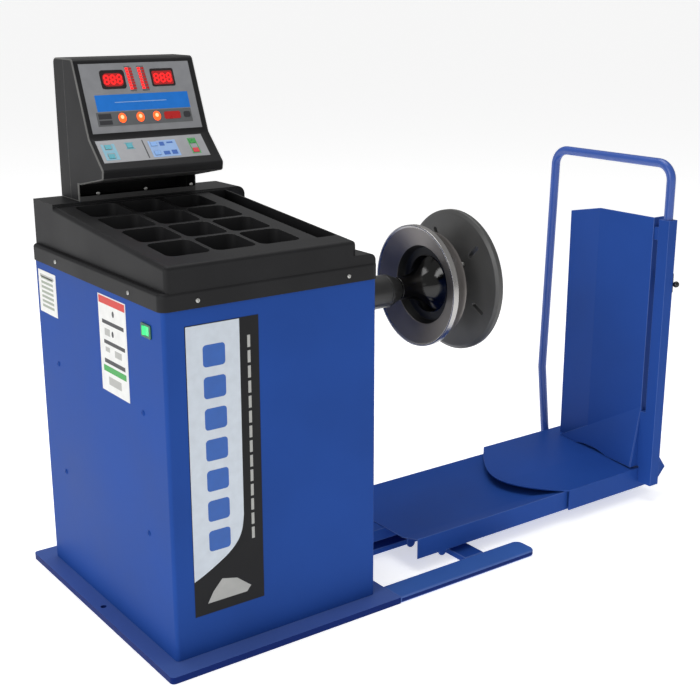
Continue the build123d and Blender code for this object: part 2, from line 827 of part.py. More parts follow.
def air_inlet():
    y = BACK + SHEET
    nut_end = y + 8
    fitting = rod_y((y, nut_end), NIPPLE_R + 4.5, NIPPLE_X, CONNECTION_Z)
    fitting += rod_y((nut_end, nut_end + NIPPLE_LENGTH), NIPPLE_R, NIPPLE_X, CONNECTION_Z)
    return fitting - rod_y((y + 2, nut_end + NIPPLE_LENGTH + 1), NIPPLE_BORE, NIPPLE_X, CONNECTION_Z)


# ---------- lift ----------
def mast_y(inset=0):
    return (LIFT_Y - MAST_HALF_Y + inset, LIFT_Y + MAST_HALF_Y - inset)


def lift_mast():
    web = block((MAST_X[0], MAST_X[0] + 62), mast_y(), (BASE_T, MAST_TOP))
    web -= block((MAST_X[0] + MAST_T, MAST_X[1]), mast_y(MAST_T), (BASE_T, MAST_TOP))
    foot = block(MAST_X, mast_y(), (BASE_T, BASE_T + MAST_T))
    head = block(MAST_X, mast_y(), (MAST_TOP - 20, MAST_TOP))
    return web + foot + head


def guide_rods():
    z = (BASE_T + MAST_T, MAST_TOP - 20)
    return group([rod_z(z, GUIDE_R, ROD_X, LIFT_Y + side * GUIDE_HALF_Y) for side in (-1, 1)])


def cylinder_barrel():
    low = BASE_T + MAST_T
    barrel = rod_z((low, BARREL_TOP), BARREL_R, ROD_X, LIFT_Y)
    barrel -= rod_z((low + 10, BARREL_TOP - GLAND_H), BARREL_BORE, ROD_X, LIFT_Y)
    return barrel - rod_z((low + 20, BARREL_TOP + 1), PISTON_ROD_R + RUN_FIT, ROD_X, LIFT_Y)


def piston_rod():
    low = BASE_T + MAST_T + 12
    rod = rod_z((low, SLIDER_Z[1] - 16), PISTON_ROD_R, ROD_X, LIFT_Y)
    return rod + rod_z((low, low + PISTON_H), PISTON_R, ROD_X, LIFT_Y)


def lift_slider():
    slider = block(SLIDER_PLATE_X, (LIFT_Y - 70, LIFT_Y + 70), SLIDER_Z)
    x = (ROD_X - 18, SLIDER_PLATE_X[0])
    for side in (-1, 1):
        y = sorted((LIFT_Y + side * 30, LIFT_Y + side * 70))
        slider += block(x, y, (SLIDER_Z[0], SLIDER_Z[0] + BLOCK_H))
        slider += block(x, y, (SLIDER_Z[1] - BLOCK_H, SLIDER_Z[1]))
    slider += block(x, (LIFT_Y - 30, LIFT_Y + 30), (SLIDER_Z[1] - 16, SLIDER_Z[1]))
    for side in (-1, 1):
        slider -= rod_z((0, SLIDER_Z[1] + 1), GUIDE_R + RUN_FIT, ROD_X, LIFT_Y + side * GUIDE_HALF_Y)
    return slider


def lift_beam():
    top = FLOOR_Z - LIFT_SHEET
    y = (LIFT_Y - 40, LIFT_Y + 40)
    beam = block((SLIDER_PLATE_X[1], BEAM_END), y, (43, top))
    return beam - block((SLIDER_PLATE_X[1] + 4, BEAM_END + 1), (y[0] + 4, y[1] - 4), (47, top - 4))


def lift_tray():
    """Trough with skirts, and two round-ended lugs welded under its end by the machine."""
    near, far = TRAY_LIFT_Y
    low, high = TRAY_LIFT_Z
    left, right = far - BAND_W, near + BAND_W
    run = [(far, low), (far, high), (left, FLOOR_Z), (right, FLOOR_Z), (near, high), (near, low)]
    tray = side_prism(thickened(run, LIFT_SHEET), TRAY_LIFT_X)
    for x, y in LUGS:
        across = (y, y + LUG_T)
        tray += block(span(x, 2 * LUG_R), across, (LUG_Z, FLOOR_Z)) + rod_y(across, LUG_R, x, LUG_Z)
    return tray


# ---------- carriage ----------
def carriage_deck():
    """Wheel deck with a rounded nose, a crease along it, two skirts and a pointed cheek on the near side."""
    t = CAR_SHEET
    run = [(CAR_NEAR_Y + t / 2, CAR_NEAR_TOP), (CREASE_Y, CAR_TOP), (CAR_FAR_Y, CAR_TOP)]
    deck = side_prism(thickened(run, -t), (NOSE_FRONT_X, CAR_X[1]))
    far_x, near_x = NOSE_FAR_X, CAR_X[0]
    nose = make_face([
        Spline((far_x, CAR_FAR_Y, 0), *[(x, y, 0) for x, y in NOSE], (near_x, CAR_NEAR_Y, 0)),
        Polyline(
            (near_x, CAR_NEAR_Y, 0), (CAR_X[1], CAR_NEAR_Y, 0), (CAR_X[1], CAR_FAR_Y, 0), (far_x, CAR_FAR_Y, 0),
        ),
    ])
    deck &= extrude(nose, amount=200, dir=(0, 0, 1))
    deck += block((far_x, CAR_X[1]), (CAR_FAR_Y - t, CAR_FAR_Y), (CAR_SKIRT_Z, CAR_TOP))
    cheek = [
        (CAR_X[0], CAR_SKIRT_Z), (CAR_X[1], CAR_SKIRT_Z), (CAR_TIP_X, 81), (CAR_X[1] + 10, 120),
        (CAR_X[1] - 20, 120), (CAR_X[1] - 36, CAR_NEAR_TOP), (CAR_X[0], CAR_NEAR_TOP),
    ]
    deck += front_prism(cheek, (CAR_NEAR_Y, CAR_NEAR_Y + t))
    near, far = TRAY_LIFT_Y
    rim = TRAY_LIFT_Z[1] - 1
    low = FLOOR_Z + END_GAP
    under = CAR_TOP - t / 2
    left, right = far - END_INSET, near + END_INSET
    end = [
        (right, rim), (right, CAR_NEAR_TOP - t / 2), (CREASE_Y, under), (left, under), (left, rim),
        (far - BAND_W, low), (near + BAND_W, low),
    ]
    deck += side_prism(end, (CAR_X[1] - t, CAR_X[1]))
    for x in ROLLER_X:
        for y in ROLLER_Y:
            for side in (-1, 1):
                edge = y + side * (ROLLER_W / 2 + 3)
                cheek_z = (FLOOR_Z + 3, CAR_TOP - 3.5)
                deck += block((x - 8, x + 8), (edge - 2, edge + 2), cheek_z)
    for x in ROLLER_X:
        deck -= rod_y((ROLLER_Y[0] - 30, ROLLER_Y[1] + 30), ROLLER_AXLE_R, x, roller_z())
    return deck


def roller_z():
    return FLOOR_Z + ROLLER_R + 0.3


def carriage_axles():
    length = ROLLER_W + 10
    return group([rod_y(span(y, length), ROLLER_AXLE_R, x, roller_z()) for x in ROLLER_X for y in ROLLER_Y])


def rollers(x):
    pair = []
    for y in ROLLER_Y:
        ends = span(y, ROLLER_W)
        wheel = rod_y(ends, ROLLER_R, x, roller_z())
        pair.append(wheel - rod_y((ends[0] - 1, ends[1] + 1), ROLLER_BORE, x, roller_z()))
    return group(pair)


def back_plate():
    t = CAR_SHEET
    run = [
        (BACK_X + BACK_RETURN, BACK_NEAR_Y), (BACK_X, BACK_NEAR_Y), (BACK_X, BACK_FOLD_Y),
        (BACK_X + BACK_FAR_SWEEP, BACK_FAR_Y),
    ]
    plate = plan_prism(thickened(run, -t), (CAR_TOP, BACK_PEAK))
    beyond, above = BACK_FAR_Y + 10, BACK_PEAK + 5
    top = [(BACK_FOLD_Y, BACK_PEAK), (beyond, BACK_FAR_Z - 3), (beyond, above), (BACK_FOLD_Y, above)]
    plate -= side_prism(top, (BACK_X - 20, BACK_X + 60))
    toe = corner_wedge(0) - corner_wedge(t + 1)
    rise = TOE_GAP[2]
    half = (TOE_GAP[1] - TOE_GAP[0]) / 2
    radius = (half * half + rise * rise) / (2 * rise)
    toe -= rod_x((TOE_X - 20, BACK_X), radius, sum(TOE_GAP[:2]) / 2, CAR_TOP + rise - radius)
    return plate + toe


def corner_wedge(shift):
    """Wedge under the sloping toe that carries the back plate's near corner forward onto the deck."""
    far = (BACK_X + shift, TOE_FAR_Y, CAR_TOP)
    top = (BACK_X + shift, BACK_NEAR_Y, TOE_TOP)
    toe = (TOE_X + shift, BACK_NEAR_Y, CAR_TOP)
    corner = (BACK_X + shift, BACK_NEAR_Y, CAR_TOP)
    corners = ((far, top, toe), (far, toe, corner), (far, corner, top), (top, corner, toe))
    return Solid(Shell([Face(Wire.make_polygon(c)) for c in corners]))


def side_post():
    post = block(POST_X, POST_Y, (CAR_SKIRT_Z + 20, POST_TOP))
    w = POST_WALL
    post -= block((POST_X[0] + w, POST_X[1] - w), (POST_Y[0] + w, POST_Y[1] - w), (CAR_SKIRT_Z, POST_TOP - w))
    mid_x = sum(POST_X) / 2
    mid_y = sum(POST_Y) / 2
    return post - rod_z((POST_TOP - 27, POST_TOP + 3), HANDLE_R, mid_x, mid_y) + post_webs()


def post_webs():
    """Webs that tie the post and the back plate to the deck's near edge."""
    t = CAR_SHEET
    web_y = (BACK_NEAR_Y - t, BACK_NEAR_Y)
    outline = [(TOE_X, CAR_TOP), (BACK_X, TOE_TOP), (WEB_END_X, WEB_END_Z), (WEB_END_X, CAR_TOP)]
    web = front_prism(outline, web_y)
    low = block(POST_X, (POST_Y[1], web_y[0]), (CAR_TOP, TOE_TOP - 12))
    tie = block(POST_X, (POST_Y[1], CAR_NEAR_Y), (CAR_SKIRT_Z + 20, CAR_TOP))
    link = block((BACK_X + t, POST_X[1]), (POST_Y[1], BACK_NEAR_Y), LINK_Z)
    return web + low + tie + link


def push_handle():
    x = sum(POST_X) / 2
    near_y = sum(POST_Y) / 2
    high = HANDLE_TOP - HANDLE_R
    points = [
        (x, near_y, HANDLE_START_Z), (x, near_y, high), (x, HANDLE_FAR_Y, high), (x, *HANDLE_KNEE),
        (x, *HANDLE_FOOT),
    ]
    route = FilletPolyline(*points, radius=HANDLE_BEND)
    section = Plane(origin=points[0], z_dir=(0, 0, 1)) * (Circle(HANDLE_R) - Circle(HANDLE_R - HANDLE_WALL))
    return sweep(section, path=route)


def valve_box():
    width, height = VALVE_SIZE
    body = block((POST_X[1], POST_X[1] + width), VALVE_Y, span(LEVER_Z, height))
    slot_y = (VALVE_Y[0] - 1, VALVE_Y[0] + VALVE_SLOT_DEPTH)
    return body - block(span(LEVER_X, VALVE_SLOT[0]), slot_y, span(LEVER_Z, VALVE_SLOT[1]))


def valve_lever():
    stem = rod_y((KNOB_Y, LEVER_PIVOT_Y), LEVER_R, LEVER_X, LEVER_Z)
    stem += rod_x(span(LEVER_X, VALVE_SLOT[0] - 1), LEVER_R + 1.5, LEVER_PIVOT_Y, LEVER_Z)
    return stem + Pos(LEVER_X, KNOB_Y, LEVER_Z) * Sphere(KNOB_R)


# ---------- write ----------
def save(name, shape):
    export_step(shape, f"parts/{name}.step")


MAKERS = (
    base_plate, outrigger_bar, lift_base, cabinet_shell, rear_panel, panel_screws, front_trim, side_plates,
    switch_bezel, power_rocker, top_cover, weight_tray, cover_screws, head_shell, head_back, display_panel,
    keypad_plate, display_board, spindle_housing, spindle_nose, spindle_bearings, spindle_shaft, wheel_flange,
    pressure_plate, plate_bolts, quick_nut, nut_arms, inner_frame, force_sensors, driven_pulley, encoder_disc,
    motor, motor_pulley, drive_belt, power_board, power_inlet, air_inlet, lift_mast, guide_rods, cylinder_barrel,
    piston_rod, lift_slider, lift_beam, lift_tray, carriage_deck, carriage_axles, back_plate,
    side_post, push_handle, valve_box, valve_lever,
)

os.makedirs("parts", exist_ok=True)
for maker in MAKERS:
    save(maker.__name__, maker())
save("front_rollers", rollers(ROLLER_X[0]))
save("rear_rollers", rollers(ROLLER_X[1]))
for key_name, key_place in key_places().items():
    save(key_name, keypad_key(key_place))
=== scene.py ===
import json
import math

import bmesh
import bpy
from mathutils import Matrix, Vector


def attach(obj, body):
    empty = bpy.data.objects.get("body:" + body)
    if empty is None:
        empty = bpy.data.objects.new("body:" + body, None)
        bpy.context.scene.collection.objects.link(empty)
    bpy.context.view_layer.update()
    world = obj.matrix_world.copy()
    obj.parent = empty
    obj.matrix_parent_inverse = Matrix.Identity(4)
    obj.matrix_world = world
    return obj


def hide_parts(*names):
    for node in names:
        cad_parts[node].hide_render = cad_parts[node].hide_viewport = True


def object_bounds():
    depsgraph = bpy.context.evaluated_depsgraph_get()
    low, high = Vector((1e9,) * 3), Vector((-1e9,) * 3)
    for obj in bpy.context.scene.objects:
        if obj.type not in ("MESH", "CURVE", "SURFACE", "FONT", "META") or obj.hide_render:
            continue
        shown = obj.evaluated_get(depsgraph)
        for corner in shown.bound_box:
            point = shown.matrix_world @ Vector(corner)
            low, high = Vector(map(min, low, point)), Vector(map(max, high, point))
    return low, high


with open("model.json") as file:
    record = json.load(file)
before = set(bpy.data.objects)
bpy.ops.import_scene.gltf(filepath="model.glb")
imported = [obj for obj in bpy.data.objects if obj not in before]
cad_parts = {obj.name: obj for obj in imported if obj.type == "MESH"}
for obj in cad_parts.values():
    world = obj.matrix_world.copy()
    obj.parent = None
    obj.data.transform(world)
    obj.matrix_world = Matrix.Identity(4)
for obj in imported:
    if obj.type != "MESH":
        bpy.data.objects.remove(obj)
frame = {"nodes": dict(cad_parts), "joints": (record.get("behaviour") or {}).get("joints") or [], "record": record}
cad_low, cad_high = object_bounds()
nodes = frame["nodes"]
MM = 0.001
SHARP = math.radians(32)
FLOOR_REACH = 2000
FLOOR_GAP = 0.0005


# ---------- places taken from the frame ----------
def joint(name):
    return next(j for j in frame["joints"] if j["name"] == name)


SPINDLE = Vector(joint("spindle_spin")["pos_m"])
BODY_OF = {n: b for b, names in frame["record"]["behaviour"]["bodies"].items() for n in names}


# ---------- camera, lights and floor ----------
def make_camera():
    data = bpy.data.cameras.new("camera")
    camera = bpy.data.objects.new("camera", data)
    bpy.context.scene.collection.objects.link(camera)
    camera.location = (-1.5078, -2.7430, 1.5776)
    camera.rotation_euler = (math.radians(73.81), 0, math.radians(-36.05))
    data.sensor_width = 36
    data.lens = 62.2
    data.clip_end = 5000
    bpy.context.scene.camera = camera


def soft_box(name, place, target, width, height, power, tint=(1, 1, 1)):
    """Rectangular area light at a place, turned toward a target."""
    data = bpy.data.lights.new(name, "AREA")
    data.shape = "RECTANGLE"
    data.size = width
    data.size_y = height
    data.energy = power
    data.color = tint
    light = bpy.data.objects.new(name, data)
    light.location = place
    light.rotation_euler = (Vector(target) - Vector(place)).to_track_quat("-Z", "Y").to_euler()
    bpy.context.scene.collection.objects.link(light)


def make_stage():
    floor_material = bpy.data.materials.new("pale_floor")
    floor_material.use_nodes = True
    shader = floor_material.node_tree.nodes["Principled BSDF"]
    shader.inputs["Base Color"].default_value = (0.93, 0.93, 0.93, 1)
    shader.inputs["Roughness"].default_value = 0.85
    shader.inputs["Specular IOR Level"].default_value = 0.1
    shader.inputs["Emission Color"].default_value = (1, 1, 1, 1)
    shader.inputs["Emission Strength"].default_value = 0.57
    data = bpy.data.meshes.new("floor")
    corners = [(FLOOR_REACH * x, FLOOR_REACH * y, 0) for x, y in ((-1, -1), (1, -1), (1, 1), (-1, 1))]
    data.from_pydata(corners, [], [(0, 1, 2, 3)])
    data.materials.append(floor_material)
    floor = bpy.data.objects.new("floor", data)
    floor.location.z = cad_low.z - FLOOR_GAP
    bpy.context.scene.collection.objects.link(floor)
    world = bpy.data.worlds.new("studio")
    world.use_nodes = True
    tree = world.node_tree
    sky = tree.nodes["Background"]
    sky.inputs["Color"].default_value = (1, 1, 1, 1)
    sky.inputs["Strength"].default_value = 0.38
    seen = tree.nodes.new("ShaderNodeBackground")
    seen.inputs["Strength"].default_value = 1.0
    ray = tree.nodes.new("ShaderNodeLightPath")
    pick = tree.nodes.new("ShaderNodeMixShader")
    tree.links.new(ray.outputs["Is Camera Ray"], pick.inputs[0])
    tree.links.new(sky.outputs[0], pick.inputs[1])
    tree.links.new(seen.outputs[0], pick.inputs[2])
    tree.links.new(pick.outputs[0], tree.nodes["World Output"].inputs["Surface"])
    bpy.context.scene.world = world
    middle = (0.3, 0, 0.6)
    soft_box("key_left", (-8.5, -2.2, 4.0), middle, 4.0, 5.5, 300)
    soft_box("front_fill", (0.8, -6.5, 2.4), middle, 3.0, 2.0, 6)
    soft_box("top_light", (0.6, 0.8, 6.0), middle, 4.0, 4.0, 165)
    view = bpy.context.scene.view_settings
    view.view_transform = "Standard"
    view.look = "None"


# ---------- material graphs ----------
class Finish:
    """A procedural finish: one Principled shader with the textures that feed it."""

    def __init__(self, name, colour, roughness=0.5, metallic=0.0, coat=0.0, specular=0.5):
        self.material = bpy.data.materials.new(name)
        self.material.use_nodes = True
        self.tree = self.material.node_tree
        self.shader = self.tree.nodes["Principled BSDF"]
        self.put("Base Color", (*colour, 1))
        self.put("Roughness", roughness)
        self.put("Metallic", metallic)
        self.put("Coat Weight", coat)
        self.put("Coat Roughness", 0.12)
        self.put("Specular IOR Level", specular)
        self.roughness = roughness
        self.colour = colour
        self.place = self.add("ShaderNodeTexCoord").outputs["Object"]

    def put(self, socket, value):
        self.shader.inputs[socket].default_value = value

    def add(self, kind, **values):
        node = self.tree.nodes.new(kind)
        for key, value in values.items():
            if hasattr(node, key):
                setattr(node, key, value)
            else:
                node.inputs[key.replace("_", " ").title()].default_value = value
        return node

    def link(self, source, target):
        self.tree.links.new(source, target)

    def noise(self, scale, detail=3.0, stretch=(1, 1, 1)):
        """Noise on the piece's own coordinates, returned as its value socket."""
        mapping = self.add("ShaderNodeMapping")
        mapping.inputs["Scale"].default_value = stretch
        self.link(self.place, mapping.inputs["Vector"])
        node = self.add("ShaderNodeTexNoise")
        node.inputs["Scale"].default_value = scale
        node.inputs["Detail"].default_value = detail
        self.link(mapping.outputs["Vector"], node.inputs["Vector"])
        return node.outputs["Fac"]

    def span(self, value, low, high, from_low=0.3, from_high=0.7):
        """Value carried from one range to another."""
        node = self.add("ShaderNodeMapRange")
        node.inputs["From Min"].default_value = from_low
        node.inputs["From Max"].default_value = from_high
        node.inputs["To Min"].default_value = low
        node.inputs["To Max"].default_value = high
        self.link(value, node.inputs["Value"])
        return node.outputs["Result"]

    def mix(self, factor, first, second):
        """Colour between two colours; either may be a socket."""
        node = self.add("ShaderNodeMix", data_type="RGBA")
        self.link(factor, node.inputs["Factor"])
        for socket, value in ((node.inputs[6], first), (node.inputs[7], second)):
            if isinstance(value, bpy.types.NodeSocket):
                self.link(value, socket)
            else:
                socket.default_value = (*value, 1)
        return node.outputs[2]

    def math(self, operation, first, second=None):
        node = self.add("ShaderNodeMath", operation=operation)
        for socket, value in zip(node.inputs, (first, second)):
            if isinstance(value, bpy.types.NodeSocket):
                self.link(value, socket)
            elif value is not None:
                socket.default_value = value
        return node.outputs[0]

    def bump(self, height, distance, strength=1.0):
        node = self.add("ShaderNodeBump")
        node.inputs["Strength"].default_value = strength
        node.inputs["Distance"].default_value = distance
        self.link(height, node.inputs["Height"])
        previous = self.shader.inputs["Normal"].links
        if previous:
            self.link(previous[0].from_socket, node.inputs["Normal"])
        self.link(node.outputs["Normal"], self.shader.inputs["Normal"])

    def vary(self, amount, scale=6.0, rough=0.06):
        """Slow drift of tone and gloss over the surface."""
        drift = self.noise(scale)
        dark = tuple(c * (1 - amount) for c in self.colour)
        light = tuple(min(1, c * (1 + amount)) for c in self.colour)
        self.link(self.mix(self.span(drift, 0, 1), dark, light), self.shader.inputs["Base Color"])
        gloss = self.span(drift, self.roughness - rough, self.roughness + rough)
        self.link(gloss, self.shader.inputs["Roughness"])

    def radius(self):
        """Distance from the spindle's axis."""
        axes = self.add("ShaderNodeSeparateXYZ")
        self.link(self.place, axes.inputs[0])
        y = self.math("SUBTRACT", axes.outputs["Y"], SPINDLE.y)
        z = self.math("SUBTRACT", axes.outputs["Z"], SPINDLE.z)
        squares = self.math("ADD", self.math("MULTIPLY", y, y), self.math("MULTIPLY", z, z))
        return self.math("SQRT", squares)


def powder_coat(name, colour, roughness=0.45, gloss=0.05):
    """Blue powder coat with orange peel and a slow drift of tone."""
    finish = Finish(name, colour, roughness, specular=gloss)
    finish.vary(0.08, 3.0)
    finish.bump(finish.noise(420, 2), 0.00012, 0.5)
    finish.bump(finish.noise(16, 2), 0.0012, 0.25)
    return finish.material


def moulded_black(name, colour=(0.016, 0.016, 0.017), roughness=0.48, grain=700):
    """Black moulding with a leather-like grain."""
    finish = Finish(name, colour, roughness, specular=0.14)
    finish.vary(0.18, 5.0)
    grain_cells = finish.add("ShaderNodeTexVoronoi")
    grain_cells.inputs["Scale"].default_value = grain
    finish.link(finish.place, grain_cells.inputs["Vector"])
    finish.bump(grain_cells.outputs["Distance"], 0.00012, 0.35)
    finish.bump(finish.noise(30, 3), 0.0006, 0.2)
    return finish.material


def turned_metal(name, colour, roughness=0.22, metallic=1.0, ring_scale=2600):
    """Metal turned about the spindle axis, with fine rings and a little staining."""
    finish = Finish(name, colour, roughness, metallic)
    finish.vary(0.14, 9.0, 0.05)
    rings = finish.add("ShaderNodeTexNoise", noise_dimensions="1D")
    rings.inputs["Scale"].default_value = ring_scale
    rings.inputs["Detail"].default_value = 2
    finish.link(finish.radius(), rings.inputs["W"])
    finish.bump(rings.outputs["Fac"], 0.00006, 0.5)
    return finish.material


def plain_metal(name, colour, roughness=0.3, scale=260):
    """Machined or plated metal with fine scratches."""
    finish = Finish(name, colour, roughness, 1.0)
    finish.vary(0.15, 12, 0.08)
    finish.bump(finish.noise(scale, 4, (1, 8, 1)), 0.00005, 0.5)
    return finish.material


def dark_iron(name, colour, roughness=0.42):
    """Black painted metal with small nicks and greasy patches."""
    finish = Finish(name, colour, roughness, coat=0.1)
    finish.vary(0.3, 14, 0.12)
    finish.bump(finish.noise(220, 4), 0.00012, 0.5)
    return finish.material


def film(name, colour, roughness=0.35, glow=0.0, metallic=0.0):
    """Printed film or lamp lens, faintly mottled, lit from behind where it glows."""
    finish = Finish(name, colour, roughness, metallic)
    finish.vary(0.05, 40, 0.05)
    finish.bump(finish.noise(900, 1), 0.00002, 0.3)
    if glow:
        finish.put("Emission Color", (*colour, 1))
        finish.put("Emission Strength", glow)
    return finish.material


def rubber(name):
    finish = Finish(name, (0.02, 0.02, 0.02), 0.7)
    finish.vary(0.2, 30)
    finish.bump(finish.noise(500, 3), 0.0001, 0.5)
    return finish.material


def circuit_board(name):
    """Green board with lighter green tracks."""
    finish = Finish(name, (0.02, 0.17, 0.07), 0.4)
    bricks = finish.add("ShaderNodeTexBrick")
    bricks.inputs["Scale"].default_value = 90
    bricks.inputs["Color1"].default_value = (0.02, 0.17, 0.07, 1)
    bricks.inputs["Color2"].default_value = (0.015, 0.12, 0.05, 1)
    bricks.inputs["Mortar"].default_value = (0.10, 0.32, 0.12, 1)
    finish.link(finish.place, bricks.inputs["Vector"])
    finish.link(bricks.outputs["Color"], finish.shader.inputs["Base Color"])
    finish.bump(bricks.outputs["Fac"], 0.0001, 0.4)
    return finish.material


PAINT = powder_coat("blue_powder_coat", (0.019, 0.070, 0.315))
PLASTIC = moulded_black("black_moulding")
TRAY_PLASTIC = moulded_black("black_tray_moulding", (0.020, 0.020, 0.021), 0.5, 900)
STEEL = turned_metal("polished_flange_steel", (0.19, 0.175, 0.168), 0.34, 0.6)
BLACK_PLATE = turned_metal("black_anodised_plate", (0.085, 0.085, 0.084), 0.42, 0.3, 1400)
IRON = dark_iron("black_painted_iron", (0.018, 0.018, 0.018))
BRIGHT = plain_metal("bright_steel", (0.6, 0.6, 0.6), 0.25)
ALLOY = plain_metal("machined_alloy", (0.62, 0.62, 0.63), 0.35)
ZINC = plain_metal("zinc_plated", (0.5, 0.5, 0.48), 0.3, 500)
BRASS = plain_metal("turned_brass", (0.62, 0.42, 0.14), 0.3)
MOTOR_PAINT = dark_iron("motor_paint", (0.06, 0.065, 0.07))
RUBBER = rubber("belt_rubber")
BOARD = circuit_board("circuit_board")
NYLON = film("roller_nylon", (0.62, 0.61, 0.57), 0.45)
GLOSS_BLACK = film("gloss_black", (0.012, 0.012, 0.012), 0.2)
SILVER = film("silver_film", (0.56, 0.61, 0.67), 0.34, metallic=0.3)
PANEL_SILVER = film("display_silver", (0.29, 0.295, 0.31), 0.4, metallic=0.3)
WHITE = film("white_print", (0.78, 0.78, 0.76), 0.45)
RED_PRINT = film("red_print", (0.62, 0.03, 0.02), 0.45)
GREEN_PRINT = film("green_print", (0.03, 0.35, 0.06), 0.45)
DARK_PRINT = film("dark_print", (0.03, 0.03, 0.035), 0.45)
BLUE_PRINT = film("blue_print", (0.012, 0.10, 0.42), 0.35)
RED_LAMP = film("red_lamp", (1.0, 0.012, 0.012), 0.3, 1.3)
DEEP_RED = film("deep_red_lamp", (0.35, 0.008, 0.008), 0.3, 0.35)
ORANGE_LAMP = film("orange_lamp", (1.0, 0.10, 0.015), 0.3, 1.2)
GREEN_LAMP = film("green_lamp", (0.02, 0.55, 0.16), 0.25, 0.7)
# The printed blue band gets a faint emission: a painted glow, though it is no lamp.
GLOWING_BAND_BLUE = film("display_band_blue_painted_glow", (0.004, 0.15, 0.55), 0.35, 0.15)
BEZEL_GREEN = film("bezel_green_tint", (0.0, 0.085, 0.045), 0.25)
PALE_BLUE = film("pale_blue_print", (0.26, 0.42, 0.72), 0.4)
CYAN_KEY = film("cyan_key", (0.05, 0.36, 0.44), 0.3)
BLUE_KEY = film("light_blue_key", (0.22, 0.42, 0.80), 0.3)
GREEN_KEY = film("green_key", (0.02, 0.30, 0.05), 0.3)
RED_KEY = film("red_key", (0.66, 0.03, 0.05), 0.3)
# Lighter blue for the rounded convex edges of the paint: a painted highlight.
EDGE_HIGHLIGHT_BLUE = powder_coat("blue_painted_edge_highlight", (0.085, 0.155, 0.43), 0.3)
TUBE_PAINT = powder_coat("blue_tube_paint", (0.030, 0.090, 0.38), 0.3, 0.6)
# Lighter blacks for the rounded convex edges of the mouldings and the tray: painted highlights.
EDGE_HIGHLIGHT_BLACK = moulded_black("black_moulding_painted_edge_highlight", (0.15, 0.15, 0.145), 0.34)
EDGE_HIGHLIGHT_TRAY = moulded_black("black_tray_painted_edge_highlight", (0.17, 0.17, 0.165), 0.36)
READOUT = film("readout_window", (0.016, 0.010, 0.010), 0.2)
GLOW = film("readout_glow", (0.30, 0.008, 0.008), 0.3, 0.5)
STRIP_GREY = film("strip_grey", (0.12, 0.125, 0.13), 0.4)
WARM_LAMP = film("warm_lamp_heart", (1.0, 0.42, 0.22), 0.3, 1.2)
PALE_CYAN = film("pale_cyan_print", (0.20, 0.44, 0.56), 0.4)
FAINT_PRINT = film("faint_print", (0.42, 0.42, 0.40), 0.45)
OLIVE_PRINT = film("olive_print", (0.33, 0.37, 0.30), 0.45)
TRIM_BLACK = moulded_black("trim_black_film", (0.013, 0.013, 0.014), 0.42, 1500)
# Near-black for the flange's bowl: painted shade of the deep recess.
FLANGE_SHADE_BLACK = turned_metal("flange_bowl_painted_shade", (0.012, 0.012, 0.012), 0.5, 0.2)
HUB_CHROME = turned_metal("hub_dark_chrome", (0.045, 0.045, 0.045), 0.12)
# Brighter steel for the flange's rim: a painted highlight.
RIM_HIGHLIGHT_STEEL = turned_metal("rim_painted_highlight_steel", (0.42, 0.41, 0.40), 0.25)
# Lighter copies of the blue paint for the tops of the base plate and the bar: painted light on lit tops.
LIT_TOP_BLUE = powder_coat("blue_painted_lit_top", (0.07, 0.13, 0.40), 0.4)
BAR_LIT_TOP_BLUE = powder_coat("bar_painted_lit_top", (0.045, 0.125, 0.42), 0.4)
# Darker copy of the blue paint for the other faces of the base plate and the bar: painted shade.
SHADED_BLUE = powder_coat("blue_painted_shade_sides", (0.006, 0.022, 0.15), 0.45)
# Lighter black for the head's neck and undersides: painted fill light in their shade.
NECK_FILL_LIGHT_BLACK = moulded_black("black_neck_painted_fill_light", (0.075, 0.075, 0.075), 0.5)


# ---------- mesh helpers ----------
def new_piece(name, mesh, material, body, stands_for=()):
    """Links a finished mesh, gives it its finishes and hangs it on its body."""
    obj = bpy.data.objects.new(name, mesh)
    bpy.context.scene.collection.objects.link(obj)
    if not mesh.materials:
        for finish in material if isinstance(material, (list, tuple)) else (material,):
            mesh.materials.append(finish)
    if stands_for:
        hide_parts(*stands_for)
    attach(obj, body)
    return obj


def smooth(mesh, angle=SHARP):
    for face in mesh.polygons:
        face.use_smooth = True
    mesh.set_sharp_from_angle(angle=angle)


def bevelled(obj, width, segments=2, limit="ANGLE", edge_material=-1):
    """Rounds the object's sharp or weighted edges and evens its shading."""
    bevel = obj.modifiers.new("rounded_edges", "BEVEL")
    bevel.width = width
    bevel.segments = segments
    bevel.limit_method = limit
    bevel.angle_limit = SHARP
    bevel.use_clamp_overlap = True
    bevel.material = edge_material
    even = obj.modifiers.new("even_shading", "WEIGHTED_NORMAL")
    even.keep_sharp = True


def merged_copy(node):
    """Mesh of a CAD node as joined faces, ready for edge work."""
    work = bmesh.new()
    work.from_mesh(nodes[node].data)
    bmesh.ops.remove_doubles(work, verts=work.verts, dist=1e-6)
    bmesh.ops.dissolve_limit(work, angle_limit=math.radians(0.5), verts=work.verts, edges=work.edges)
    return work


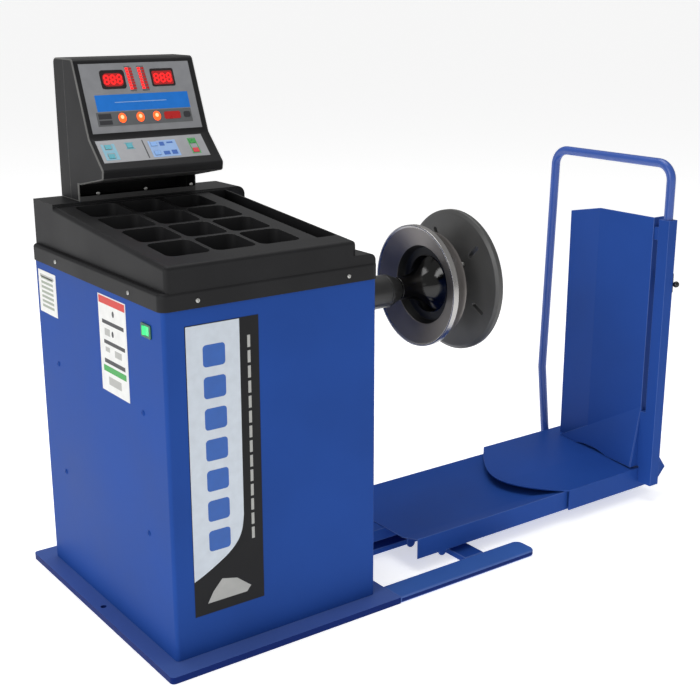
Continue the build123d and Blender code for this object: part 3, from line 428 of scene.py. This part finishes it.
def softened(node, material, width=1.0, highlight_finish=None, segments=2, share=None, zones=None):
    """CAD node with its outer edges rounded.

    The fourth argument is the rounding's finish, a lighter copy that paints a highlight along the convex edges;
    share gives an edge's part of the width, and zones is a rule that picks a face's finish with the further
    finishes that it picks from.
    """
    work = merged_copy(node)
    if zones:
        for face in work.faces:
            face.material_index = zones[0](face)
    weight = work.edges.layers.float.new("bevel_weight_edge")
    for edge in work.edges:
        if bends(edge) and edge.is_convex:
            edge[weight] = share(edge) if share else 1.0
    mesh = bpy.data.meshes.new(node + "_finished")
    work.to_mesh(mesh)
    work.free()
    smooth(mesh)
    finishes = (material, highlight_finish or material) + (zones[1] if zones else ())
    piece = new_piece(node + "_finished", mesh, finishes, BODY_OF[node], (node,))
    # The rounded convex edges take the second finish, a painted highlight, where one is given.
    bevelled(piece, width * MM, segments, "WEIGHT", 1 if highlight_finish else -1)
    return piece


def bends(edge):
    return len(edge.link_faces) == 2 and edge.calc_face_angle(0) > SHARP


def ring_faces(work, rings):
    """Joins rings of vertices one to the next with quads."""
    for first, second in zip(rings, rings[1:]):
        count = len(first)
        for i in range(count):
            j = (i + 1) % count
            work.faces.new((first[i], first[j], second[j], second[i]))


def lathe(name, profile, material, body, stands_for=(), segments=144, bevel=0.0, inlay=None):
    """Solid turned about the spindle axis from a closed outline of (x, radius); inlay picks face finishes."""
    work = bmesh.new()
    rings = []
    for x, r in profile:
        turns = [2 * math.pi * i / segments for i in range(segments)]
        at = [(x * MM, SPINDLE.y + r * MM * math.cos(a), SPINDLE.z + r * MM * math.sin(a)) for a in turns]
        rings.append([work.verts.new(p) for p in at])
    ring_faces(work, rings + rings[:1])
    bmesh.ops.recalc_face_normals(work, faces=work.faces)
    if inlay:
        for face in work.faces:
            middle = face.calc_center_median()
            radius = math.hypot(middle.y - SPINDLE.y, middle.z - SPINDLE.z) / MM
            face.material_index = inlay(middle.x / MM, radius)
    mesh = bpy.data.meshes.new(name)
    work.to_mesh(mesh)
    work.free()
    smooth(mesh)
    piece = new_piece(name, mesh, material, body, stands_for)
    if bevel:
        bevelled(piece, bevel * MM, 3)
    return piece


def flowing(points, steps=5):
    """Points of a smooth curve through the given points."""
    ends = [points[0]] + list(points) + [points[-1]]
    run = []
    for four in zip(ends, ends[1:], ends[2:], ends[3:]):
        for i in range(steps):
            run.append(tuple(between(*values, i / steps) for values in zip(*four)))
    return run + [points[-1]]


def between(p, q, r, s, t):
    """Value at t on the way from q to r, with p before them and s after."""
    squared = 2 * p - 5 * q + 4 * r - s
    cubed = 3 * q - p - 3 * r + s
    return 0.5 * (2 * q + (r - p) * t + squared * t * t + cubed * t ** 3)


def rounded(low, high, radius, steps=4):
    """Corner points of a rounded rectangle, turning left."""
    centres = (
        (high[0] - radius, low[1] + radius, -90), (high[0] - radius, high[1] - radius, 0),
        (low[0] + radius, high[1] - radius, 90), (low[0] + radius, low[1] + radius, 180),
    )
    points = []
    for x, y, start in centres:
        for i in range(steps + 1):
            a = math.radians(start + 90 * i / steps)
            points.append((x + radius * math.cos(a), y + radius * math.sin(a)))
    return points


class Face:
    """A flat face of the machine, in millimetres: across and up are its directions, out is its normal."""

    def __init__(self, origin, across, up):
        self.origin = Vector(origin) * MM
        self.across = Vector(across).normalized()
        self.up = Vector(up).normalized()
        self.out = self.across.cross(self.up)

    def at(self, x, y, depth=0.0):
        return self.origin + (self.across * x + self.up * y + self.out * depth) * MM

    def turn(self, spin=0.0):
        """Rotation that lays a shape drawn in X and Y on the face."""
        basis = Matrix((self.across, self.up, self.out)).transposed()
        return (basis.to_4x4() @ Matrix.Rotation(spin, 4, "Z")).to_euler()

    def print_on(self, name, shapes, depth, thickness, material, body="machine"):
        """One thin raised piece made of several outlines drawn on the face."""
        work = bmesh.new()
        for shape in shapes:
            bottom = [work.verts.new(self.at(x, y, depth)) for x, y in shape]
            top = [work.verts.new(self.at(x, y, depth + thickness)) for x, y in shape]
            ring_faces(work, [bottom, top])
            work.faces.new(top)
            work.faces.new(bottom[::-1])
        bmesh.ops.recalc_face_normals(work, faces=work.faces)
        mesh = bpy.data.meshes.new(name)
        work.to_mesh(mesh)
        work.free()
        return new_piece(name, mesh, material, body)


# ---------- repeated pieces ----------
def repeating_tree(name, material):
    """Node tree that sets one shape on every point, turned by the point's own angles, in one finish."""
    tree = bpy.data.node_groups.new(name, "GeometryNodeTree")
    face = tree.interface
    face.new_socket("Geometry", in_out="INPUT", socket_type="NodeSocketGeometry")
    face.new_socket("Shape", in_out="INPUT", socket_type="NodeSocketObject")
    face.new_socket("Size", in_out="INPUT", socket_type="NodeSocketFloat").default_value = 1.0
    face.new_socket("Loose turn", in_out="INPUT", socket_type="NodeSocketFloat").default_value = 0.0
    face.new_socket("Seed", in_out="INPUT", socket_type="NodeSocketInt").default_value = 3
    face.new_socket("Geometry", in_out="OUTPUT", socket_type="NodeSocketGeometry")
    add, link = tree.nodes.new, tree.links.new
    given = add("NodeGroupInput").outputs
    shape = add("GeometryNodeObjectInfo")
    link(given["Shape"], shape.inputs["Object"])
    angles = add("GeometryNodeInputNamedAttribute")
    angles.data_type = "FLOAT_VECTOR"
    angles.inputs["Name"].default_value = "turn"
    as_rotation = add("FunctionNodeEulerToRotation")
    link(angles.outputs["Attribute"], as_rotation.inputs[0])
    spread = add("GeometryNodeInstanceOnPoints")
    link(given["Geometry"], spread.inputs["Points"])
    link(shape.outputs["Geometry"], spread.inputs["Instance"])
    link(as_rotation.outputs[0], spread.inputs["Rotation"])
    link(given["Size"], spread.inputs["Scale"])
    chance = add("FunctionNodeRandomValue")
    chance.data_type = "FLOAT"
    link(given["Loose turn"], chance.inputs[3])
    link(given["Seed"], chance.inputs["Seed"])
    about = add("ShaderNodeCombineXYZ")
    link(chance.outputs[1], about.inputs["Z"])
    loosen = add("GeometryNodeRotateInstances")
    loosen.inputs["Local Space"].default_value = True
    link(spread.outputs["Instances"], loosen.inputs["Instances"])
    link(about.outputs[0], loosen.inputs["Rotation"])
    realize = add("GeometryNodeRealizeInstances")
    link(loosen.outputs["Instances"], realize.inputs[0])
    paint = add("GeometryNodeSetMaterial")
    paint.inputs["Material"].default_value = material
    link(realize.outputs[0], paint.inputs["Geometry"])
    link(paint.outputs[0], add("NodeGroupOutput").inputs["Geometry"])
    return tree


def repeated(name, places, shape, material, body, stands_for=(), loose=0.0):
    """Sets a shape at each (point, angles) and returns the result as one plain piece."""
    points = bpy.data.meshes.new(name + "_points")
    points.from_pydata([tuple(p) for p, _ in places], [], [])
    turn = points.attributes.new("turn", "FLOAT_VECTOR", "POINT")
    for row, (_, angles) in zip(turn.data, places):
        row.vector = tuple(angles)
    carrier = bpy.data.objects.new(name + "_points", points)
    pattern = bpy.data.objects.new(name + "_shape", shape)
    for obj in (carrier, pattern):
        bpy.context.scene.collection.objects.link(obj)
    tree = repeating_tree(name + "_tree", material)
    spread = carrier.modifiers.new("spread", "NODES")
    spread.node_group = tree
    keys = {s.name: s.identifier for s in tree.interface.items_tree if s.in_out == "INPUT"}
    spread[keys["Shape"]] = pattern
    spread[keys["Size"]] = 1.0
    spread[keys["Loose turn"]] = loose
    spread[keys["Seed"]] = 3
    graph = bpy.context.evaluated_depsgraph_get()
    mesh = bpy.data.meshes.new_from_object(carrier.evaluated_get(graph))
    carrier.modifiers.remove(spread)
    bpy.data.objects.remove(carrier)
    bpy.data.objects.remove(pattern)
    mesh.materials.clear()
    return new_piece(name, mesh, material, body, stands_for)


def drawn(name, outline, height, taper=0.0, angle=math.radians(30)):
    """Raised shape over an outline in X and Y, its top drawn in by the taper."""
    work = bmesh.new()
    middle = Vector((sum(x for x, _ in outline), sum(y for _, y in outline), 0)) / len(outline)
    rings = []
    for z, inset in ((0, 0), (height * 0.6, 0), (height, taper)):
        ring = []
        for x, y in outline:
            arm = Vector((x, y, 0)) - middle
            arm *= max(0.0, 1 - inset / max(arm.length, 1e-6))
            ring.append(work.verts.new(((middle + arm) + Vector((0, 0, z))) * MM))
        rings.append(ring)
    ring_faces(work, rings)
    work.faces.new(rings[-1])
    work.faces.new(rings[0][::-1])
    bmesh.ops.recalc_face_normals(work, faces=work.faces)
    mesh = bpy.data.meshes.new(name)
    work.to_mesh(mesh)
    work.free()
    smooth(mesh, angle)
    return mesh


def screw_head(name, radius, height, sides=32):
    """Domed head with a cross recess, its seat at zero and its top along Z."""
    arm, half = radius * 0.55, radius * 0.14
    work = bmesh.new()

    def ring(reach, z):
        at = []
        for i in range(sides):
            a = 2 * math.pi * (i + 0.5) / sides
            r = reach if reach else cross_reach(a, arm, half)
            at.append(work.verts.new(Vector((r * math.cos(a), r * math.sin(a), z)) * MM))
        return at

    dome = [(radius, 0), (radius, 0.35), (radius * 0.93, 0.68), (radius * 0.78, 0.9), (radius * 0.6, 1.0)]
    rings = [ring(r, z * height) for r, z in dome] + [ring(0, height), ring(0, height * 0.35)]
    ring_faces(work, rings)
    work.faces.new(rings[-1])
    work.faces.new(rings[0][::-1])
    bmesh.ops.recalc_face_normals(work, faces=work.faces)
    mesh = bpy.data.meshes.new(name)
    work.to_mesh(mesh)
    work.free()
    smooth(mesh, math.radians(40))
    return mesh


def cross_reach(angle, arm, half):
    """Distance from the middle of a cross recess to its edge."""
    c, s = max(abs(math.cos(angle)), 1e-6), max(abs(math.sin(angle)), 1e-6)
    return max(min(arm / c, half / s), min(half / c, arm / s))


# ---------- faces of the machine ----------
LEFT, FRONT_Y, BACK_Y = -302.5, -370, 372
HEAD_SIDES, HEAD_SPLIT_Y, CHIN_Z = (-215, 137), 300, 1140
READOUT_X, LAMP_X = (-111, 33.5), (-108, -56, -8)
BROW, FACE_LOW, KEYPAD_LOW = (248, 1430), (168, 1233), (93, 1159)
FRONT_FACE = Face((0, FRONT_Y, 0), (1, 0, 0), (0, 0, 1))
LEFT_FACE = Face((LEFT, 0, 0), (0, -1, 0), (0, 0, 1))
RIGHT_FACE = Face((-LEFT, 0, 0), (0, 1, 0), (0, 0, 1))
REAR_FACE = Face((0, BACK_Y, 0), (-1, 0, 0), (0, 0, 1))
DISPLAY = Face((0, *BROW), (1, 0, 0), (0, BROW[0] - FACE_LOW[0], BROW[1] - FACE_LOW[1]))
KEYPAD = Face((0, *FACE_LOW), (1, 0, 0), (0, FACE_LOW[0] - KEYPAD_LOW[0], FACE_LOW[1] - KEYPAD_LOW[1]))


def block(x0, x1, s0, s1, radius=0.0):
    """Outline on the display or keypad, with s measured down the face."""
    if radius:
        return rounded((x0, -s1), (x1, -s0), radius)
    return [(x0, -s1), (x1, -s1), (x1, -s0), (x0, -s0)]


def tile(x0, x1, y0, y1):
    return [(x0, y0), (x1, y0), (x1, y1), (x0, y1)]


# ---------- display head ----------
def display_face():
    windows = [block(-146, -76, 33, 84, 8), block(-1, 68, 33, 82, 5)]
    DISPLAY.print_on("readout_windows", windows, 0, 0.5, READOUT)
    glows = [block(-140, -82, 42, 77, 12), block(4, 63, 40, 77, 4)]
    DISPLAY.print_on("readout_glow", glows, 0.5, 0.2, GLOW)
    DISPLAY.print_on("blue_band", [block(-173, 97, 99, 143)], 0, 0.35, GLOWING_BAND_BLUE)
    DISPLAY.print_on("band_line", [block(-120, 30, 119, 121)], 0.35, 0.1, PALE_BLUE)
    DISPLAY.print_on("lamp_strip", [block(-179, 96, 145, 182)], 0, 0.35, STRIP_GREY)
    slits = [block(-174, -138, 149, 163), block(-174, -138, 167, 178)]
    DISPLAY.print_on("strip_window", slits, 0.35, 0.2, DARK_PRINT)
    leaning = [
        [(-66, -92), (-50, -92), (-57, -24), (-73, -24)],
        [(-32, -92), (-12, -92), (-17, -24), (-37, -24)],
    ]
    DISPLAY.print_on("graph_backs", leaning, 0, 0.4, STRIP_GREY)


def readout_digits():
    """Three seven-segment digits in each readout."""
    long, wide = 9.5, 3.6
    outline = [
        (-long / 2, 0), (-long / 2 + 1.6, -wide / 2), (long / 2 - 1.6, -wide / 2), (long / 2, 0),
        (long / 2 - 1.6, wide / 2), (-long / 2 + 1.6, wide / 2),
    ]
    parts = [(0, y, 0) for y in (11, 0, -11)] + [(x, y, 1) for y in (5.5, -5.5) for x in (-5.6, 5.6)]
    places = []
    for middle in READOUT_X:
        for digit in (-1, 0, 1):
            for x, y, upright in parts:
                at = DISPLAY.at(middle + digit * 18.5 + x, -59 + y, 0.7)
                places.append((at, DISPLAY.turn(math.pi / 2 * upright)))
    shape = drawn("segment", outline, 0.3, 0.15)
    repeated("readout_digits", places, shape, RED_LAMP, "machine")


def bar_graphs():
    """Two leaning pairs of lit steps between the readouts."""
    lit, dim = [], []
    for x, group in ((-65, lit), (-55, dim), (-30, lit), (-19, dim)):
        for i in range(8):
            rise = 31 + i * 7.6
            group.append((DISPLAY.at(x - 4 + 7 * rise / 92, -rise, 0.4), DISPLAY.turn()))
    step = drawn("step", tile(-4.2, 4.2, -2.9, 2.9), 0.3, 0.3)
    repeated("lit_steps", lit, step, RED_LAMP, "machine")
    step = drawn("dim_step", tile(-4.2, 4.2, -2.9, 2.9), 0.3, 0.3)
    repeated("dim_steps", dim, step, DEEP_RED, "machine")


def position_lamps():
    """Round lamps along the strip under the blue band, and the two long ones after them."""
    circle = [(11 * math.cos(a * math.pi / 12), 13 * math.sin(a * math.pi / 12)) for a in range(24)]
    places = [(DISPLAY.at(x, -162, 0.35), DISPLAY.turn()) for x in LAMP_X]
    lens = drawn("lamp_lens", circle, 1.6, 4.5, math.radians(60))
    repeated("position_lamps", places, lens, ORANGE_LAMP, "machine")
    inner = [(x * 0.45, y * 0.4) for x, y in circle]
    places = [(DISPLAY.at(x, -160, 1.9), DISPLAY.turn()) for x in LAMP_X]
    heart = drawn("heart", inner, 0.3, 1.0, math.radians(60))
    repeated("lamp_hearts", places, heart, WARM_LAMP, "machine")
    DISPLAY.print_on("long_lamp", [block(14, 62, 152, 172, 5)], 0.35, 0.8, DEEP_RED)
    DISPLAY.print_on("end_lamp", [block(72, 92, 154, 170, 5)], 0.35, 0.8, DARK_PRINT)


def keypad_face():
    left = [
        block(-190, -183, 20, 72), block(-161, -152, 20, 72),
        block(-183, -161, 40, 50), block(-183, -161, 68, 72),
    ]
    KEYPAD.print_on("left_field", left, 0, 0.3, PALE_CYAN)
    middle = [
        block(-57, -51.5, 20, 74), block(-32.5, 23, 20, 74),
        block(-51.5, -32.5, 38, 52), block(-51.5, -32.5, 68, 74),
    ]
    KEYPAD.print_on("middle_field", middle, 0, 0.3, PALE_BLUE)
    marks = [block(-26, -12, 25, 38), block(-4, 14, 26, 31), block(-24, -6, 56, 68), block(0, 16, 54, 68)]
    KEYPAD.print_on("middle_marks", marks, 0.3, 0.2, BLUE_PRINT)
    KEYPAD.print_on("divider", [block(-72, -69, 14, 74)], 0, 0.3, DARK_PRINT)
    ring = [
        block(60, 62.6, 19, 71), block(81.4, 84, 19, 71),
        block(62.6, 81.4, 19, 21), block(62.6, 81.4, 69, 71),
    ]
    KEYPAD.print_on("start_field", ring, 0, 0.3, GREEN_PRINT)
    lines = [block(-124, -98, 19.5, 21.5), block(-124, -98, 38.5, 40.5)]
    KEYPAD.print_on("offset_field", lines, 0, 0.3, CYAN_KEY)


# ---------- labels and trim ----------
def side_labels():
    """Generic printed blocks on the two side plates."""
    depth = 0.8
    LEFT_FACE.print_on("red_block", [tile(34, 178, 861, 880)], depth, 0.1, RED_PRINT)
    bars = [tile(48, 168, 811, 821), tile(54, 170, 760, 770), tile(52, 166, 710, 721)]
    discs = [[(x + 6 * math.cos(i * math.pi / 8), z + 8 * math.sin(i * math.pi / 8)) for i in range(16)]
             for x, z in ((112, 843), (105, 791))]
    LEFT_FACE.print_on("dark_bars", bars + discs, depth, 0.1, DARK_PRINT)
    LEFT_FACE.print_on("green_block", [tile(44, 170, 687, 703)], depth, 0.1, GREEN_PRINT)
    faint = [
        tile(70, 140, 655, 676), tile(60, 84, 740, 752),
        tile(112, 150, 735, 752), tile(60, 90, 782, 800),
    ]
    LEFT_FACE.print_on("faint_blocks", faint, depth, 0.1, FAINT_PRINT)
    rows = [tile(-330, -252, z, z + 7) for z in range(776, 856, 13)]
    LEFT_FACE.print_on("plate_rows", rows, depth, 0.1, OLIVE_PRINT)
    LEFT_FACE.print_on("plate_head", [tile(-336, -246, 858, 866)], depth, 0.1, FAINT_PRINT)


def trim_panel():
    """Front trim: black film with a brushed field whose foot sweeps up to the right, and plain decoration."""
    black = FRONT_FACE.print_on("trim_black", [tile(-248, -50, 122, 860)], 0, 0.6, TRIM_BLACK)
    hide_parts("front_trim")
    foot = [(-247, 217), (-222, 228), (-185, 247), (-148, 270), (-122, 296), (-109, 325), (-104, 362)]
    sweep = flowing(foot, 4)
    FRONT_FACE.print_on("trim_silver", [sweep + [(-103, 858), (-246, 858)]], 0.6, 0.2, SILVER)
    blocks = [rounded((-203, z), (-143, z + 54), 9) for z in range(286, 770, 78)]
    FRONT_FACE.print_on("trim_blocks", blocks, 0.8, 0.05, BLUE_PRINT)
    dashes = [tile(-82, -74, z, z + 30) for z in range(290, 790, 38)]
    FRONT_FACE.print_on("trim_dashes", dashes, 0.6, 0.05, FAINT_PRINT)
    crest = [(-212, 150), (-100, 150), (-88, 164), (-128, 196), (-170, 206), (-196, 178)]
    FRONT_FACE.print_on("trim_crest", [crest], 0.6, 0.05, FAINT_PRINT)


# ---------- fasteners ----------
def screw_places(face, spots, depth=0.0):
    return [(face.at(x, z, depth), face.turn()) for x, z in spots]


def fasteners():
    neck = Face((0, 250, 0), (1, 0, 0), (0, 0, 1))
    front = Face((0, -375, 0), (1, 0, 0), (0, 0, 1))
    left = Face((-308, 0, 0), (0, -1, 0), (0, 0, 1))
    places = screw_places(front, ((-213, 918), (213, 918)))
    places += screw_places(left, ((-213, 918), (213, 918)))
    places += screw_places(neck, ((-160, 1080), (-20, 1080), (120, 1080)))
    shape = screw_head("cover_screw", 5.5, 2.5)
    repeated("cover_screw_heads", places, shape, ZINC, "machine", ("cover_screws",), 1.5)
    spots = [(y, z) for y in (-250, 250) for z in (318, 630)]
    places = screw_places(LEFT_FACE, spots) + screw_places(RIGHT_FACE, spots)
    places += screw_places(REAR_FACE, [(x, z) for x in (-267.5, 267.5) for z in (120, 460, 800)])
    shape = screw_head("panel_screw", 7, 3)
    repeated("panel_screw_heads", places, shape, PAINT, "machine", ("panel_screws",), 1.5)
    plate = Face((772, -110, 785), (0, -1, 0), (0, 0, 1))
    spots = []
    for i in range(5):
        a = math.radians(27 + 72 * i)
        spots.append((-80 * math.sin(a), 80 * math.cos(a)))
    hexagon = [(7 * math.cos(math.radians(60 * i)), 7 * math.sin(math.radians(60 * i))) for i in range(6)]
    shape = drawn("hex_head", hexagon, 6, 1.2)
    repeated("plate_bolt_heads", screw_places(plate, spots), shape, ZINC, "clamp",
             ("plate_bolts",), 0.8)


def rear_louvres():
    """Pressed louvres in the rear panel."""
    places = screw_places(REAR_FACE, [(x, z) for x in (-110, 110) for z in range(560, 760, 22)])
    hood = drawn("louvre", rounded((-80, -4), (80, 4), 3.9), 4, 3)
    repeated("rear_louvres", places, hood, PAINT, "machine")


# ---------- spindle ----------
def polished_flange():
    trumpet = flowing([(573, 33), (600, 33.6), (622, 36), (640, 41), (657, 50), (673, 64), (688, 84)])
    rest = [
        (689, 95), (688, 106), (664, 114), (652, 140), (639, 168), (636, 171), (636, 176), (654, 176),
        (662, 168), (690, 152), (704, 152), (704, 20), (573, 20),
    ]
    finishes = (STEEL, FLANGE_SHADE_BLACK, HUB_CHROME, RIM_HIGHLIGHT_STEEL)
    lathe("polished_flange", trumpet + rest, finishes, "spindle",
          ("wheel_flange",), 160, 1.4, flange_zone)


def flange_zone(x, r):
    """Dark chrome on the hub, a brighter steel painted as a highlight on the rim, a black painted as shade in the
    bowl, polished elsewhere.
    """
    if r < 86 and x < 690:
        return 2
    if r > 169:
        return 3
    return 1 if 84 < r < 115 and 660 < x < 692 else 0


# ---------- finishes and rounded edges of the CAD nodes ----------
NODE_FINISH = {
    "display_board": BOARD, "power_board": BOARD, "spindle_bearings": BRIGHT, "spindle_shaft": BRIGHT,
    "guide_rods": BRIGHT, "piston_rod": BRIGHT, "carriage_axles": BRIGHT, "force_sensors": ZINC,
    "driven_pulley": ALLOY, "motor_pulley": ALLOY, "encoder_disc": ALLOY, "cylinder_barrel": ALLOY,
    "motor": MOTOR_PAINT, "drive_belt": RUBBER, "air_inlet": BRASS, "front_rollers": NYLON,
    "rear_rollers": NYLON, "side_plates": WHITE, "display_panel": PANEL_SILVER, "keypad_plate": PANEL_SILVER,
    "power_rocker": GREEN_LAMP, "power_inlet": GLOSS_BLACK, "valve_box": GLOSS_BLACK,
    "valve_lever": GLOSS_BLACK, "start_key": GREEN_KEY, "stop_key": RED_KEY, "unit_key": CYAN_KEY,
    "width_key": CYAN_KEY, "offset_key": CYAN_KEY, "mode_key": BLUE_KEY, "recall_key": BLUE_KEY,
}
PAINTED = {
    "lift_base": 2, "cabinet_shell": 0.6, "rear_panel": 0.8, "inner_frame": 1, "lift_mast": 1.2,
    "lift_slider": 1.2, "lift_beam": 1, "lift_tray": 1.2, "carriage_deck": 1.2, "back_plate": 1.4,
    "side_post": 1.6,
}


def head_share(edge):
    """Full rounding on the head's outer side edges, a little on the rest."""
    xs = [v.co.x / MM for v in edge.verts]
    outer = any(all(abs(x - side) < 0.1 for x in xs) for side in HEAD_SIDES)
    on_split = all(abs(v.co.y / MM - HEAD_SPLIT_Y) < 0.1 for v in edge.verts)
    return 1.0 if outer and not on_split else 0.15


def lit_top_or_shaded_side(face):
    """Third finish, a lighter copy painted as lit tops, on tops; fourth, a darker copy painted as shade, on the
    other faces.
    """
    return 2 if face.normal.z > 0.9 else 3


def neck_zone(face):
    """Third finish, a lighter black painted as fill light in the shade, on the neck and the chin's underside."""
    middle = face.calc_center_median() / MM
    return 2 if face.normal.y < -0.2 and middle.z < CHIN_Z or face.normal.z < -0.5 else 0


# ---------- the machine ----------
make_camera()
make_stage()
for node_name, finish_material in NODE_FINISH.items():
    nodes[node_name].data.materials.clear()
    nodes[node_name].data.materials.append(finish_material)
for node_name, edge_width in PAINTED.items():
    softened(node_name, PAINT, edge_width, EDGE_HIGHLIGHT_BLUE)
# Base plate and bar: lit tops and shaded sides painted in as lighter and darker copies of the paint.
softened("base_plate", PAINT, 4, EDGE_HIGHLIGHT_BLUE, 3, zones=(lit_top_or_shaded_side, (LIT_TOP_BLUE, SHADED_BLUE)))
softened("outrigger_bar", PAINT, 4, EDGE_HIGHLIGHT_BLUE, 3, zones=(lit_top_or_shaded_side, (BAR_LIT_TOP_BLUE, SHADED_BLUE)))
softened("push_handle", TUBE_PAINT, 0.5)
softened("head_shell", PLASTIC, 7, EDGE_HIGHLIGHT_BLACK, 4, head_share, (neck_zone, (NECK_FILL_LIGHT_BLACK,)))
softened("head_back", PLASTIC, 7, EDGE_HIGHLIGHT_BLACK, 4, head_share)
softened("top_cover", PLASTIC, 4, EDGE_HIGHLIGHT_BLACK, 3)
softened("weight_tray", TRAY_PLASTIC, 4, EDGE_HIGHLIGHT_TRAY, 3)
softened("spindle_housing", IRON, 2)
softened("spindle_nose", IRON, 2)
softened("pressure_plate", BLACK_PLATE, 2.5, None, 3)
softened("quick_nut", BLACK_PLATE, 2)
softened("nut_arms", IRON, 1.5)
softened("switch_bezel", BEZEL_GREEN, 0.8)
polished_flange()
display_face()
readout_digits()
bar_graphs()
position_lamps()
keypad_face()
side_labels()
trim_panel()
fasteners()
rear_louvres()
